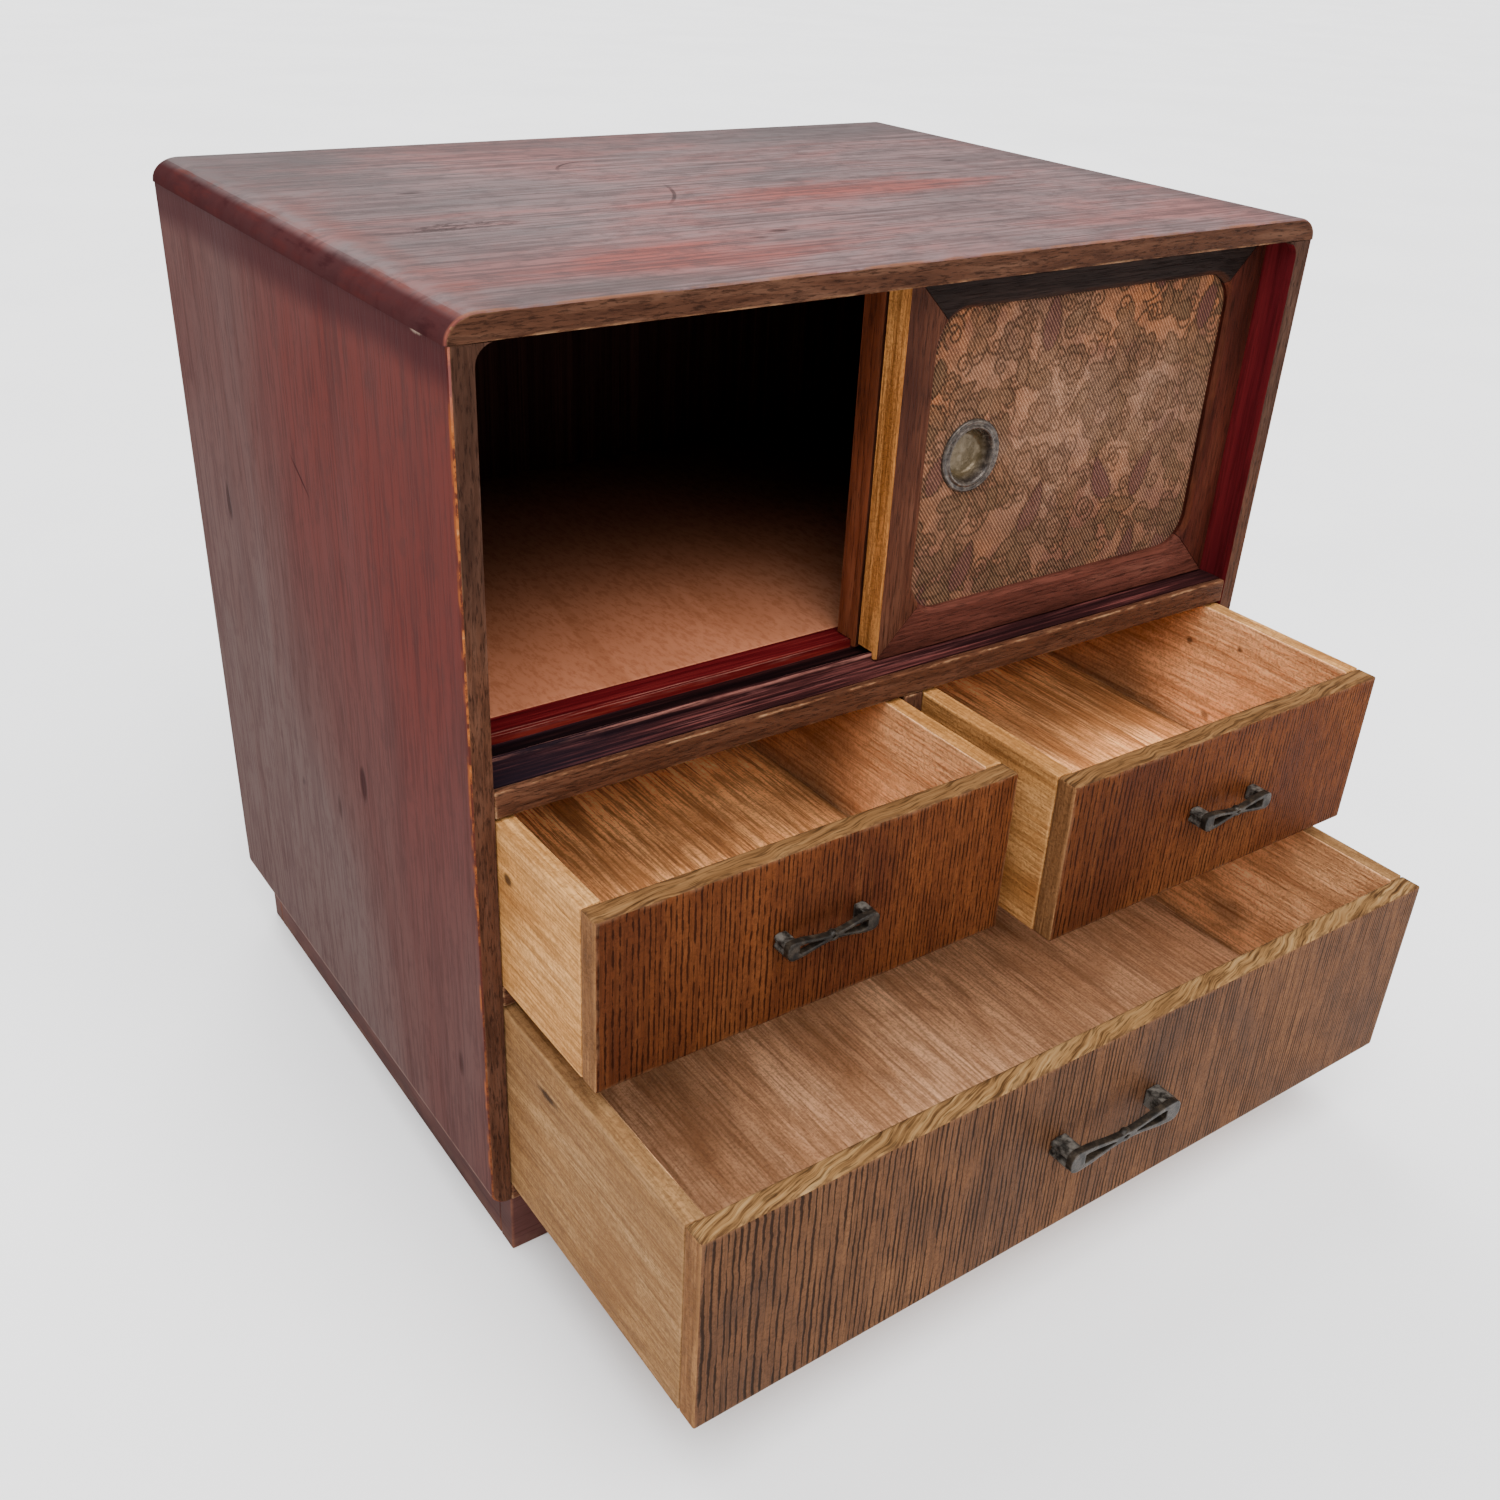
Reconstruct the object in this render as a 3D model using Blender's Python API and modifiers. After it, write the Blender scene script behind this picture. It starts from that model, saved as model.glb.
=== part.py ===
"""Small lacquered chest: a cupboard with two sliding doors over three drawers.

The chest faces -Y, +X is to its right and +Z is up. It is shown as found: both doors
slid to the right and all three drawers drawn out. Metres throughout.
"""
import math

import bmesh
import bpy
from mathutils import Matrix, Vector

# Carcass
WIDTH = 0.460
DEPTH = 0.327
TOP_THICK = 0.0107
TOP_ROUND_WIDTH = 0.0135
TOP_EDGE_FLAT = 0.0005
TOP_OVERHANG = 0.0008
SIDE_THICK = 0.0100
SIDE_FOOT_FLAT = 0.0010
BOTTOM_THICK = 0.0093
MIDDLE_THICK = 0.0107
DIVIDER_THICK = 0.0114
BACK_THICK = 0.0060
BACK_INSET = 0.0020
BAND_THICK = 0.0040
CORNER_FILLET = 0.0085

# Plinth
PLINTH_HEIGHT = 0.0360
PLINTH_THICK = 0.0120
PLINTH_INSET_SIDE = 0.0110
PLINTH_INSET_END = 0.0030

# Cupboard
CUPBOARD_HEIGHT = 0.1780
SHELF_THICK = 0.0124
SILL_RAIL_WIDTH = 0.0154
SILL_RIB_HEIGHT = 0.0035
SILL_RIB_THICK = 0.0022
CUPBOARD_FLOOR_THICK = 0.0090

# Sliding doors
DOOR_WIDTH = 0.2290
DOOR_THICK = 0.0142
DOOR_SETBACK = 0.0160
DOOR_SPACING = 0.0020
DOOR_HEAD = 0.0035
DOOR_TONGUE_THICK = 0.0030
DOOR_FRAME = 0.0195
DOOR_CORNER = 0.0170
DOOR_PANEL_THICK = 0.0050
DOOR_PANEL_RECESS = 0.0040
DOOR_SLACK = 0.0025

# Finger pulls
PULL_RADIUS = 0.0174
PULL_CUP_RADIUS = 0.0122
PULL_CUP_DEPTH = 0.0062
PULL_RIM_HEIGHT = 0.0016
PULL_WALL = 0.0009
PULL_CUP_EASE = 0.0006
PULL_LIP_SLOPE = 0.0010
PULL_RIM_SLOPE = 0.0016
PULL_OFFSET = 0.0488
PULL_RISE = 0.0017
PULL_STEPS = 32

# Drawers
SMALL_FRONT_HEIGHT = 0.0826
LARGE_FRONT_HEIGHT = 0.1035
DRAWER_FRONT_THICK = 0.0110
DRAWER_FRONT_EASE = 0.0008
DRAWER_SIDE_THICK = 0.0093
DRAWER_BACK_THICK = 0.0085
DRAWER_BACK_DROP = 0.0040
DRAWER_BOTTOM_THICK = 0.0040
DRAWER_BOTTOM_RISE = 0.0050
LEFT_PULL_OUT = 0.0785
RIGHT_PULL_OUT = 0.1005
LOWER_PULL_OUT = 0.1545

# Handles: length, end height, waist height, distance out to the front face, rise above mid height
SMALL_HANDLE = (0.0475, 0.0090, 0.0032, 0.0110, 0.0010)
LARGE_HANDLE = (0.0700, 0.0115, 0.0042, 0.0140, 0.0038)
HANDLE_BAR_THICK = 0.0030
HANDLE_POST_SHARE = 0.14
HANDLE_END_LIP = 0.0006

# Clearances
JOINT_GAP = 0.0003
DRAWER_SIDE_GAP = 0.0006
DRAWER_FOOT_GAP = 0.0003
DRAWER_HEAD_GAP = 0.0017
DRAWER_REAR_GAP = 0.0012
DOOR_RUN_GAP = 0.0004
DOOR_TOP_GAP = 0.0020
EASE = 0.0005
ARC_STEPS = 6
WELD = 0.000005

# Heights stack up from the floor
BOTTOM_TOP = PLINTH_HEIGHT + BOTTOM_THICK
MIDDLE_LOW = BOTTOM_TOP + DRAWER_FOOT_GAP + LARGE_FRONT_HEIGHT + DRAWER_HEAD_GAP
MIDDLE_TOP = MIDDLE_LOW + MIDDLE_THICK
SHELF_LOW = MIDDLE_TOP + DRAWER_FOOT_GAP + SMALL_FRONT_HEIGHT + DRAWER_HEAD_GAP
SHELF_TOP = SHELF_LOW + SHELF_THICK
SOFFIT = SHELF_TOP + CUPBOARD_HEIGHT
HEIGHT = SOFFIT + TOP_THICK

# Widths, from the middle of the chest outwards
SIDE_OUTER = WIDTH / 2 - TOP_OVERHANG
SIDE_INNER = SIDE_OUTER - SIDE_THICK
SMALL_DRAWER_WIDTH = SIDE_INNER - DIVIDER_THICK / 2 - 2 * DRAWER_SIDE_GAP
SMALL_DRAWER_X = (SIDE_INNER + DIVIDER_THICK / 2) / 2
LARGE_DRAWER_WIDTH = 2 * SIDE_INNER - 2 * DRAWER_SIDE_GAP

# Depths, from the front face of the edge bands backwards
BOARD_FRONT = BAND_THICK + JOINT_GAP
BACK_FRONT = DEPTH - BACK_INSET - BACK_THICK
BOARD_REAR = BACK_FRONT - JOINT_GAP
FRONT_DOOR_Y = DOOR_SETBACK
REAR_DOOR_Y = DOOR_SETBACK + DOOR_THICK + DOOR_SPACING
FRONT_RIB_Y = FRONT_DOOR_Y + DOOR_TONGUE_THICK + DOOR_RUN_GAP
REAR_RIB_Y = REAR_DOOR_Y + DOOR_TONGUE_THICK + DOOR_RUN_GAP
SILL_DEPTH = REAR_RIB_Y + SILL_RAIL_WIDTH
DRAWER_DEPTH = BOARD_REAR - DRAWER_REAR_GAP

# Doors
DOOR_HEIGHT = CUPBOARD_HEIGHT - JOINT_GAP + DOOR_HEAD
DOOR_NOTCH = SILL_RIB_HEIGHT
TOP_GROOVE_DEPTH = DOOR_HEAD + DOOR_TOP_GAP
DOOR_LEFT_X = SIDE_INNER - DOOR_SLACK - DOOR_WIDTH

# The front of the chest stands so that the part as shown is centred on the origin
FRONT_REACH = max(
    LEFT_PULL_OUT + SMALL_HANDLE[3],
    RIGHT_PULL_OUT + SMALL_HANDLE[3],
    LOWER_PULL_OUT + LARGE_HANDLE[3],
)
FRONT_Y = (FRONT_REACH - DEPTH) / 2

PART_COLLECTION = "tansu_chest"
CUTTER_COLLECTION = "tansu_chest_cutters"


def clear_scene():
    """Remove what the opened file holds."""
    for item in list(bpy.data.objects):
        bpy.data.objects.remove(item, do_unlink=True)


def new_collection(name):
    """Add a collection to the scene."""
    collection = bpy.data.collections.new(name)
    bpy.context.scene.collection.children.link(collection)
    return collection


def new_material(name, colour, roughness, metallic=0.0):
    """Make one Principled material."""
    material = bpy.data.materials.new(name)
    material.use_nodes = True
    shader = material.node_tree.nodes["Principled BSDF"]
    shader.inputs["Base Color"].default_value = (*colour, 1.0)
    shader.inputs["Roughness"].default_value = roughness
    shader.inputs["Metallic"].default_value = metallic
    material.diffuse_color = (*colour, 1.0)
    return material


def make_materials():
    """Make every material, named for what it covers."""
    return {
        "red_lacquer": new_material("red_lacquer", (0.200, 0.050, 0.045), 0.42),
        "brown_band": new_material("brown_band", (0.110, 0.060, 0.038), 0.50),
        "dark_sill": new_material("dark_sill", (0.090, 0.012, 0.014), 0.38),
        "pale_ply": new_material("pale_ply", (0.300, 0.130, 0.060), 0.60),
        "dark_back": new_material("dark_back", (0.030, 0.016, 0.014), 0.65),
        "dark_plinth": new_material("dark_plinth", (0.070, 0.030, 0.026), 0.52),
        "door_frame": new_material("door_frame", (0.085, 0.036, 0.022), 0.42),
        "brocade": new_material("brocade", (0.380, 0.200, 0.100), 0.85),
        "stained_oak": new_material("stained_oak", (0.230, 0.085, 0.036), 0.45),
        "drawer_wood": new_material("drawer_wood", (0.560, 0.350, 0.190), 0.62),
        "drawer_base": new_material("drawer_base", (0.240, 0.140, 0.080), 0.66),
        "aged_pewter": new_material("aged_pewter", (0.200, 0.180, 0.130), 0.38, 0.9),
        "dark_bronze": new_material("dark_bronze", (0.120, 0.100, 0.075), 0.42, 0.9),
    }


def add_empty(name, location, parent=None):
    """Add an empty that carries a group of pieces."""
    empty = bpy.data.objects.new(name, None)
    empty.empty_display_size = 0.02
    empty.location = location
    empty.parent = parent
    PARTS.objects.link(empty)
    return empty


def add_object(name, mesh, location, parent, material=None):
    """Link a mesh as a named piece, or as a cutter when it has no material."""
    piece = bpy.data.objects.new(name, mesh)
    piece.location = location
    piece.parent = parent
    if material is None:
        CUTTERS.objects.link(piece)
        piece.hide_render = True
        piece.display_type = "WIRE"
    else:
        PARTS.objects.link(piece)
        mesh.materials.append(MATERIALS[material])
    return piece


def box_mesh(name, size):
    """Make a box about its own centre."""
    mesh = bpy.data.meshes.new(name)
    frame = bmesh.new()
    bmesh.ops.create_cube(frame, size=1.0, matrix=Matrix.Diagonal((*size, 1.0)))
    frame.to_mesh(mesh)
    frame.free()
    return mesh


def ease_edges(piece, width=EASE):
    """Take the sharpness off every edge."""
    bevel = piece.modifiers.new("eased_edges", "BEVEL")
    bevel.width = width
    bevel.segments = 1
    bevel.limit_method = "ANGLE"
    bevel.angle_limit = math.radians(40)


def add_box(name, low, high, material, parent, ease=EASE):
    """Add a board between two corners given in its parent's frame."""
    low = Vector(low)
    high = Vector(high)
    piece = add_object(name, box_mesh(name, high - low), (low + high) / 2, parent, material)
    ease_edges(piece, ease)
    return piece


def arc(centre_x, centre_z, radius, start, end, steps=ARC_STEPS, tall=None):
    """List points along an arc, angles in degrees; tall makes it an ellipse of that height."""
    radius_z = radius if tall is None else tall
    points = []
    for step in range(steps + 1):
        angle = math.radians(start + (end - start) * step / steps)
        points.append((centre_x + radius * math.cos(angle), centre_z + radius_z * math.sin(angle)))
    return points


def outline_mesh(name, outlines, thickness):
    """Fill outlines drawn in XZ and give them a thickness along Y, from 0 backwards."""
    curve = bpy.data.curves.new(name + "_outline", "CURVE")
    curve.dimensions = "2D"
    curve.fill_mode = "BOTH"
    curve.extrude = thickness / 2
    for outline in outlines:
        spline = curve.splines.new("POLY")
        spline.points.add(len(outline) - 1)
        for point, (x, z) in zip(spline.points, outline):
            point.co = (x, z, 0.0, 1.0)
        spline.use_cyclic_u = True
    holder = bpy.data.objects.new(name + "_outline", curve)
    bpy.context.scene.collection.objects.link(holder)
    graph = bpy.context.evaluated_depsgraph_get()
    mesh = bpy.data.meshes.new_from_object(holder.evaluated_get(graph))
    bpy.data.objects.remove(holder)
    mesh.name = name
    frame = bmesh.new()
    frame.from_mesh(mesh)
    bmesh.ops.remove_doubles(frame, verts=frame.verts, dist=WELD)
    bmesh.ops.dissolve_limit(frame, angle_limit=0.01, verts=frame.verts, edges=frame.edges)
    upright = Matrix.Translation((0.0, thickness / 2, 0.0)) @ Matrix.Rotation(math.pi / 2, 4, "X")
    bmesh.ops.transform(frame, matrix=upright, verts=frame.verts)
    bmesh.ops.recalc_face_normals(frame, faces=frame.faces)
    frame.to_mesh(mesh)
    frame.free()
    mesh.materials.clear()
    return mesh


def add_plate(name, outlines, thickness, location, material, parent, ease=EASE):
    """Add a piece cut to an outline."""
    piece = add_object(name, outline_mesh(name, outlines, thickness), location, parent, material)
    if ease:
        ease_edges(piece, ease)
    return piece


def apply_boolean(piece, tool, operation):
    """Cut or join with another closed solid, before the edges are eased."""
    boolean = piece.modifiers.new(tool.name, "BOOLEAN")
    boolean.solver = "EXACT"
    boolean.operation = operation
    boolean.object = tool
    piece.modifiers.move(len(piece.modifiers) - 1, 0)


def cut_box(piece, name, low, high, parent):
    """Cut a box-shaped hollow from a piece."""
    low = Vector(low)
    high = Vector(high)
    tool = add_object(name, box_mesh(name, high - low), (low + high) / 2, parent)
    apply_boolean(piece, tool, "DIFFERENCE")


def top_outline():
    """Front view of the top board, its ends rounded off above."""
    half = WIDTH / 2
    tall = TOP_THICK - TOP_EDGE_FLAT
    shoulder = half - TOP_ROUND_WIDTH
    outline = [(-half, SOFFIT), (half, SOFFIT)]
    outline += arc(shoulder, HEIGHT - tall, TOP_ROUND_WIDTH, 0, 90, tall=tall)
    outline += arc(-shoulder, HEIGHT - tall, TOP_ROUND_WIDTH, 90, 180, tall=tall)
    return outline


def side_outline(sign, fillet):
    """Front view of a side board, rounded at the foot; a fillet widens its head inwards."""
    head = SOFFIT - JOINT_GAP
    round_foot = SIDE_THICK - SIDE_FOOT_FLAT
    outline = [(SIDE_INNER, PLINTH_HEIGHT)]
    outline += arc(SIDE_OUTER - round_foot, PLINTH_HEIGHT + round_foot, round_foot, 270, 360)
    outline += [(SIDE_OUTER, head)]
    if fillet:
        outline += arc(SIDE_INNER - fillet, head - fillet, fillet, 90, 0)
    else:
        outline += [(SIDE_INNER, head)]
    if sign < 0:
        outline = [(-x, z) for x, z in reversed(outline)]
    return outline


def build_top(carcass):
    """Top board with the upper door grooves, and its edge band."""
    place = (0, BOARD_FRONT, 0)
    length = DEPTH - BOARD_FRONT
    top = add_plate("top_board", [top_outline()], length, place, "red_lacquer", carcass, ease=0)
    for name, door_y in (("top_groove_front", FRONT_DOOR_Y), ("top_groove_rear", REAR_DOOR_Y)):
        groove_low = (-SIDE_INNER, door_y - DOOR_RUN_GAP, SOFFIT - TOP_GROOVE_DEPTH)
        groove_high = (SIDE_INNER, door_y + DOOR_THICK + DOOR_RUN_GAP, SOFFIT + TOP_GROOVE_DEPTH)
        cut_box(top, name, groove_low, groove_high, carcass)
    add_plate("top_band", [top_outline()], BAND_THICK, (0, 0, 0), "brown_band", carcass)


def build_side(carcass, name, sign):
    """One side board and its edge band."""
    place = (0, BOARD_FRONT, 0)
    length = DEPTH - BOARD_FRONT
    add_plate(name + "_side", [side_outline(sign, 0)], length, place, "red_lacquer", carcass, ease=0)
    band = side_outline(sign, CORNER_FILLET)
    add_plate(name + "_band", [band], BAND_THICK, (0, 0, 0), "brown_band", carcass)


def build_boards(carcass):
    """Level boards, the drawer divider, the back and their edge bands."""
    edge = SIDE_INNER - JOINT_GAP
    levels = (
        ("bottom", PLINTH_HEIGHT, BOTTOM_TOP, "red_lacquer"),
        ("middle", MIDDLE_LOW, MIDDLE_TOP, "dark_back"),
    )
    for name, low, high, material in levels:
        add_box(name + "_board", (-edge, BOARD_FRONT, low), (edge, BOARD_REAR, high), material, carcass)
        add_box(name + "_band", (-edge, 0, low), (edge, BAND_THICK, high), "brown_band", carcass)
    half = DIVIDER_THICK / 2
    add_box(
        "drawer_divider",
        (-half, 0, MIDDLE_TOP + JOINT_GAP),
        (half, BOARD_REAR, SHELF_LOW - JOINT_GAP),
        "brown_band",
        carcass,
    )
    add_box(
        "back_panel",
        (-edge, BACK_FRONT, PLINTH_HEIGHT),
        (edge, BACK_FRONT + BACK_THICK, SOFFIT - JOINT_GAP),
        "dark_back",
        carcass,
    )


def build_cupboard(carcass):
    """Cupboard floor, the grooved sill the doors run on and the shelf's edge band."""
    edge = SIDE_INNER - JOINT_GAP
    floor_top = SHELF_TOP + SILL_RIB_HEIGHT
    add_box("shelf_band", (-edge, 0, SHELF_LOW), (edge, BAND_THICK, SHELF_TOP), "brown_band", carcass)
    sill = add_box(
        "door_sill", (-edge, BOARD_FRONT, SHELF_LOW), (edge, SILL_DEPTH, floor_top), "dark_sill", carcass
    )
    over = SILL_RIB_HEIGHT * 2
    cut_box(
        sill,
        "sill_front_track",
        (-WIDTH / 2, -BAND_THICK, SHELF_TOP),
        (WIDTH / 2, FRONT_RIB_Y, SHELF_TOP + over),
        carcass,
    )
    cut_box(
        sill,
        "sill_rear_track",
        (-WIDTH / 2, FRONT_RIB_Y + SILL_RIB_THICK, SHELF_TOP),
        (WIDTH / 2, REAR_RIB_Y, SHELF_TOP + over),
        carcass,
    )
    add_box(
        "cupboard_floor",
        (-edge, SILL_DEPTH + JOINT_GAP, floor_top - CUPBOARD_FLOOR_THICK),
        (edge, BOARD_REAR, floor_top),
        "pale_ply",
        carcass,
    )


def build_plinth(carcass):
    """Four boards under the carcass, set in from its sides."""
    half = SIDE_OUTER - PLINTH_INSET_SIDE
    head = PLINTH_HEIGHT - JOINT_GAP
    front = PLINTH_INSET_END
    rear = DEPTH - PLINTH_INSET_END
    for name, near in (("plinth_front", front), ("plinth_back", rear - PLINTH_THICK)):
        add_box(name, (-half, near, 0), (half, near + PLINTH_THICK, head), "dark_plinth", carcass)
    near = front + PLINTH_THICK + JOINT_GAP
    far = rear - PLINTH_THICK - JOINT_GAP
    for name, left in (("plinth_left", -half), ("plinth_right", half - PLINTH_THICK)):
        add_box(name, (left, near, 0), (left + PLINTH_THICK, far, head), "dark_plinth", carcass)


def stile_outline(mirrored):
    """Outline of a door stile, mitred at both ends and curved into the opening."""
    corner = DOOR_FRAME + DOOR_CORNER
    clear = math.degrees(JOINT_GAP / DOOR_CORNER)
    tip = JOINT_GAP * math.sqrt(2)
    outline = [(0, tip)]
    outline += arc(corner, corner, DOOR_CORNER, 225 - clear, 180)
    outline += arc(corner, DOOR_HEIGHT - corner, DOOR_CORNER, 180, 135 + clear)
    outline += [(0, DOOR_HEIGHT - tip)]
    if mirrored:
        outline = [(DOOR_WIDTH - x, z) for x, z in reversed(outline)]
    return outline


def rail_outline(mirrored):
    """Outline of a door rail; mirrored gives the top one."""
    corner = DOOR_FRAME + DOOR_CORNER
    outline = [(0, 0), (DOOR_WIDTH, 0)]
    outline += arc(DOOR_WIDTH - corner, corner, DOOR_CORNER, 315, 270)
    outline += arc(corner, corner, DOOR_CORNER, 270, 225)
    if mirrored:
        outline = [(x, DOOR_HEIGHT - z) for x, z in reversed(outline)]
    return outline


def panel_outline():
    """Outline of the brocade panel, just inside the frame's opening."""
    inset = DOOR_FRAME + JOINT_GAP
    radius = DOOR_CORNER - JOINT_GAP
    right = DOOR_WIDTH - inset - radius
    head = DOOR_HEIGHT - inset - radius
    foot = inset + radius
    outline = arc(right, head, radius, 0, 90) + arc(foot, head, radius, 90, 180)
    outline += arc(foot, foot, radius, 180, 270) + arc(right, foot, radius, 270, 360)
    return outline


def build_pull(name, x, z, door):
    """Turned finger pull: a rim on the panel around a shallow cup."""
    back = -PULL_CUP_DEPTH
    lip = PULL_RIM_HEIGHT
    cup = PULL_CUP_RADIUS
    profile = [
        (0.0, back),
        (cup - PULL_CUP_EASE, back),
        (cup, back + PULL_CUP_EASE),
        (cup, lip * 0.4),
        (cup + PULL_LIP_SLOPE, lip),
        (PULL_RADIUS - PULL_RIM_SLOPE, lip),
        (PULL_RADIUS, lip * 0.5),
        (PULL_RADIUS, JOINT_GAP),
        (cup + PULL_WALL, JOINT_GAP),
        (cup + PULL_WALL, back - PULL_WALL),
        (0.0, back - PULL_WALL),
    ]
    mesh = bpy.data.meshes.new(name)
    frame = bmesh.new()
    points = [frame.verts.new((radius, 0.0, height)) for radius, height in profile]
    for start, end in zip(points, points[1:]):
        frame.edges.new((start, end))
    frame.to_mesh(mesh)
    frame.free()
    pull = add_object(name, mesh, (x, DOOR_PANEL_RECESS, z), door, "aged_pewter")
    pull.rotation_euler = (math.pi / 2, 0.0, 0.0)
    turn = pull.modifiers.new("turned", "SCREW")
    turn.angle = math.tau
    turn.steps = PULL_STEPS
    turn.render_steps = PULL_STEPS
    turn.use_merge_vertices = True
    turn.merge_threshold = WELD
    turn.use_smooth_shade = True


def build_door(name, y, pull_x, carcass):
    """A sliding door: mitred frame with a tongue at its foot, panel and finger pull."""
    door = add_empty(name, (DOOR_LEFT_X, y, SHELF_TOP + JOINT_GAP), carcass)
    members = (
        ("_left_stile", stile_outline(False), True),
        ("_right_stile", stile_outline(True), True),
        ("_top_rail", rail_outline(True), False),
        ("_bottom_rail", rail_outline(False), True),
    )
    notch_low = (-DOOR_WIDTH, DOOR_TONGUE_THICK, -DOOR_NOTCH)
    notch_high = (DOOR_WIDTH * 2, DOOR_THICK * 2, DOOR_NOTCH)
    for suffix, outline, notched in members:
        member = add_plate(name + suffix, [outline], DOOR_THICK, (0, 0, 0), "door_frame", door)
        if notched:
            cut_box(member, name + suffix + "_notch", notch_low, notch_high, door)
    pull_z = DOOR_HEIGHT / 2 + PULL_RISE
    hole = PULL_CUP_RADIUS + PULL_WALL + JOINT_GAP
    outlines = [panel_outline(), arc(pull_x, pull_z, hole, 360, 360 / PULL_STEPS, PULL_STEPS - 1)]
    place = (0, DOOR_PANEL_RECESS, 0)
    add_plate(name + "_panel", outlines, DOOR_PANEL_THICK, place, "brocade", door, ease=0)
    build_pull(name + "_finger_pull", pull_x, pull_z, door)


def handle_outlines(length, end_height, waist):
    """Bow-shaped handle bar: two pierced wings and a knot between them."""
    half = length / 2
    end = end_height / 2
    thin = waist / 2
    knot = length * 0.075
    quarter = [
        (0.0, waist),
        (knot * 0.6, waist * 0.9),
        (knot, thin),
        (half * 0.55, end * 0.72),
        (half * 0.90, end),
        (half, end * 0.62),
    ]
    upper = quarter + [(x, -z) for x, z in reversed(quarter)]
    outline = upper + [(-x, z) for x, z in reversed(upper[1:-1])]
    wing = [
        (half * 0.30, thin * 0.35),
        (half * 0.58, end * 0.36),
        (half * 0.68, end * 0.40),
        (half * 0.68, -end * 0.40),
        (half * 0.58, -end * 0.36),
        (half * 0.30, -thin * 0.35),
    ]
    return [outline, wing, [(-x, z) for x, z in reversed(wing)]]


def build_handle(name, sizes, middle, drawer):
    """Cast handle: the bow standing off the drawer front on two posts."""
    length, end_height, waist, reach, rise = sizes
    z = middle + rise
    outlines = handle_outlines(length, end_height, waist)
    bar = add_plate(name, outlines, HANDLE_BAR_THICK, (0, -reach, z), "dark_bronze", drawer, ease=0)
    post_width = length * HANDLE_POST_SHARE
    outer = length / 2 - HANDLE_END_LIP
    tall = end_height / 2 * 0.60
    for suffix, sign in (("_left_post", -1), ("_right_post", 1)):
        near = sign * (outer - post_width)
        far = sign * outer
        low = Vector((min(near, far), -reach + HANDLE_BAR_THICK / 2, z - tall))
        high = Vector((max(near, far), -JOINT_GAP, z + tall))
        mesh = box_mesh(name + suffix, high - low)
        post = add_object(name + suffix, mesh, (low + high) / 2, drawer)
        apply_boolean(bar, post, "UNION")


def build_drawer(name, x, foot, width, height, pull_out, handle, carcass):
    """A drawer box behind its front, drawn out by pull_out."""
    drawer = add_empty(name, (x, -pull_out, foot), carcass)
    half = width / 2
    inner = half - DRAWER_SIDE_THICK
    behind = DRAWER_FRONT_THICK + JOINT_GAP
    back_low = DRAWER_DEPTH - DRAWER_BACK_THICK
    face = (half, DRAWER_FRONT_THICK, height)
    add_box(name + "_front", (-half, 0, 0), face, "stained_oak", drawer, DRAWER_FRONT_EASE)
    for suffix, left in (("_left_side", -half), ("_right_side", inner)):
        low = (left, behind, 0)
        high = (left + DRAWER_SIDE_THICK, DRAWER_DEPTH, height)
        add_box(name + suffix, low, high, "drawer_wood", drawer)
    edge = inner - JOINT_GAP
    add_box(
        name + "_back",
        (-edge, back_low, 0),
        (edge, DRAWER_DEPTH, height - DRAWER_BACK_DROP),
        "drawer_wood",
        drawer,
    )
    add_box(
        name + "_bottom",
        (-edge, behind, DRAWER_BOTTOM_RISE),
        (edge, back_low - JOINT_GAP, DRAWER_BOTTOM_RISE + DRAWER_BOTTOM_THICK),
        "drawer_base",
        drawer,
    )
    build_handle(name + "_handle", handle, height / 2, drawer)


def build_chest():
    """Build every piece of the chest."""
    carcass = add_empty("carcass", (0, FRONT_Y, 0))
    build_top(carcass)
    build_side(carcass, "left", -1)
    build_side(carcass, "right", 1)
    build_boards(carcass)
    build_cupboard(carcass)
    build_plinth(carcass)
    build_door("front_door", FRONT_DOOR_Y, PULL_OFFSET, carcass)
    build_door("rear_door", REAR_DOOR_Y, DOOR_WIDTH - PULL_OFFSET, carcass)
    upper_foot = MIDDLE_TOP + DRAWER_FOOT_GAP
    small = (SMALL_DRAWER_WIDTH, SMALL_FRONT_HEIGHT)
    build_drawer("left_drawer", -SMALL_DRAWER_X, upper_foot, *small, LEFT_PULL_OUT, SMALL_HANDLE, carcass)
    build_drawer("right_drawer", SMALL_DRAWER_X, upper_foot, *small, RIGHT_PULL_OUT, SMALL_HANDLE, carcass)
    lower_foot = BOTTOM_TOP + DRAWER_FOOT_GAP
    large = (LARGE_DRAWER_WIDTH, LARGE_FRONT_HEIGHT)
    build_drawer("lower_drawer", 0.0, lower_foot, *large, LOWER_PULL_OUT, LARGE_HANDLE, carcass)


clear_scene()
PARTS = new_collection(PART_COLLECTION)
CUTTERS = new_collection(CUTTER_COLLECTION)
MATERIALS = make_materials()
build_chest()
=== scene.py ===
"""Looks of the small lacquered chest: worn lacquer, stained oak, brocade and cast metal."""
import math
import random

import bmesh
import bpy
import numpy as np
from mathutils import Matrix, Vector, geometry, noise


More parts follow.
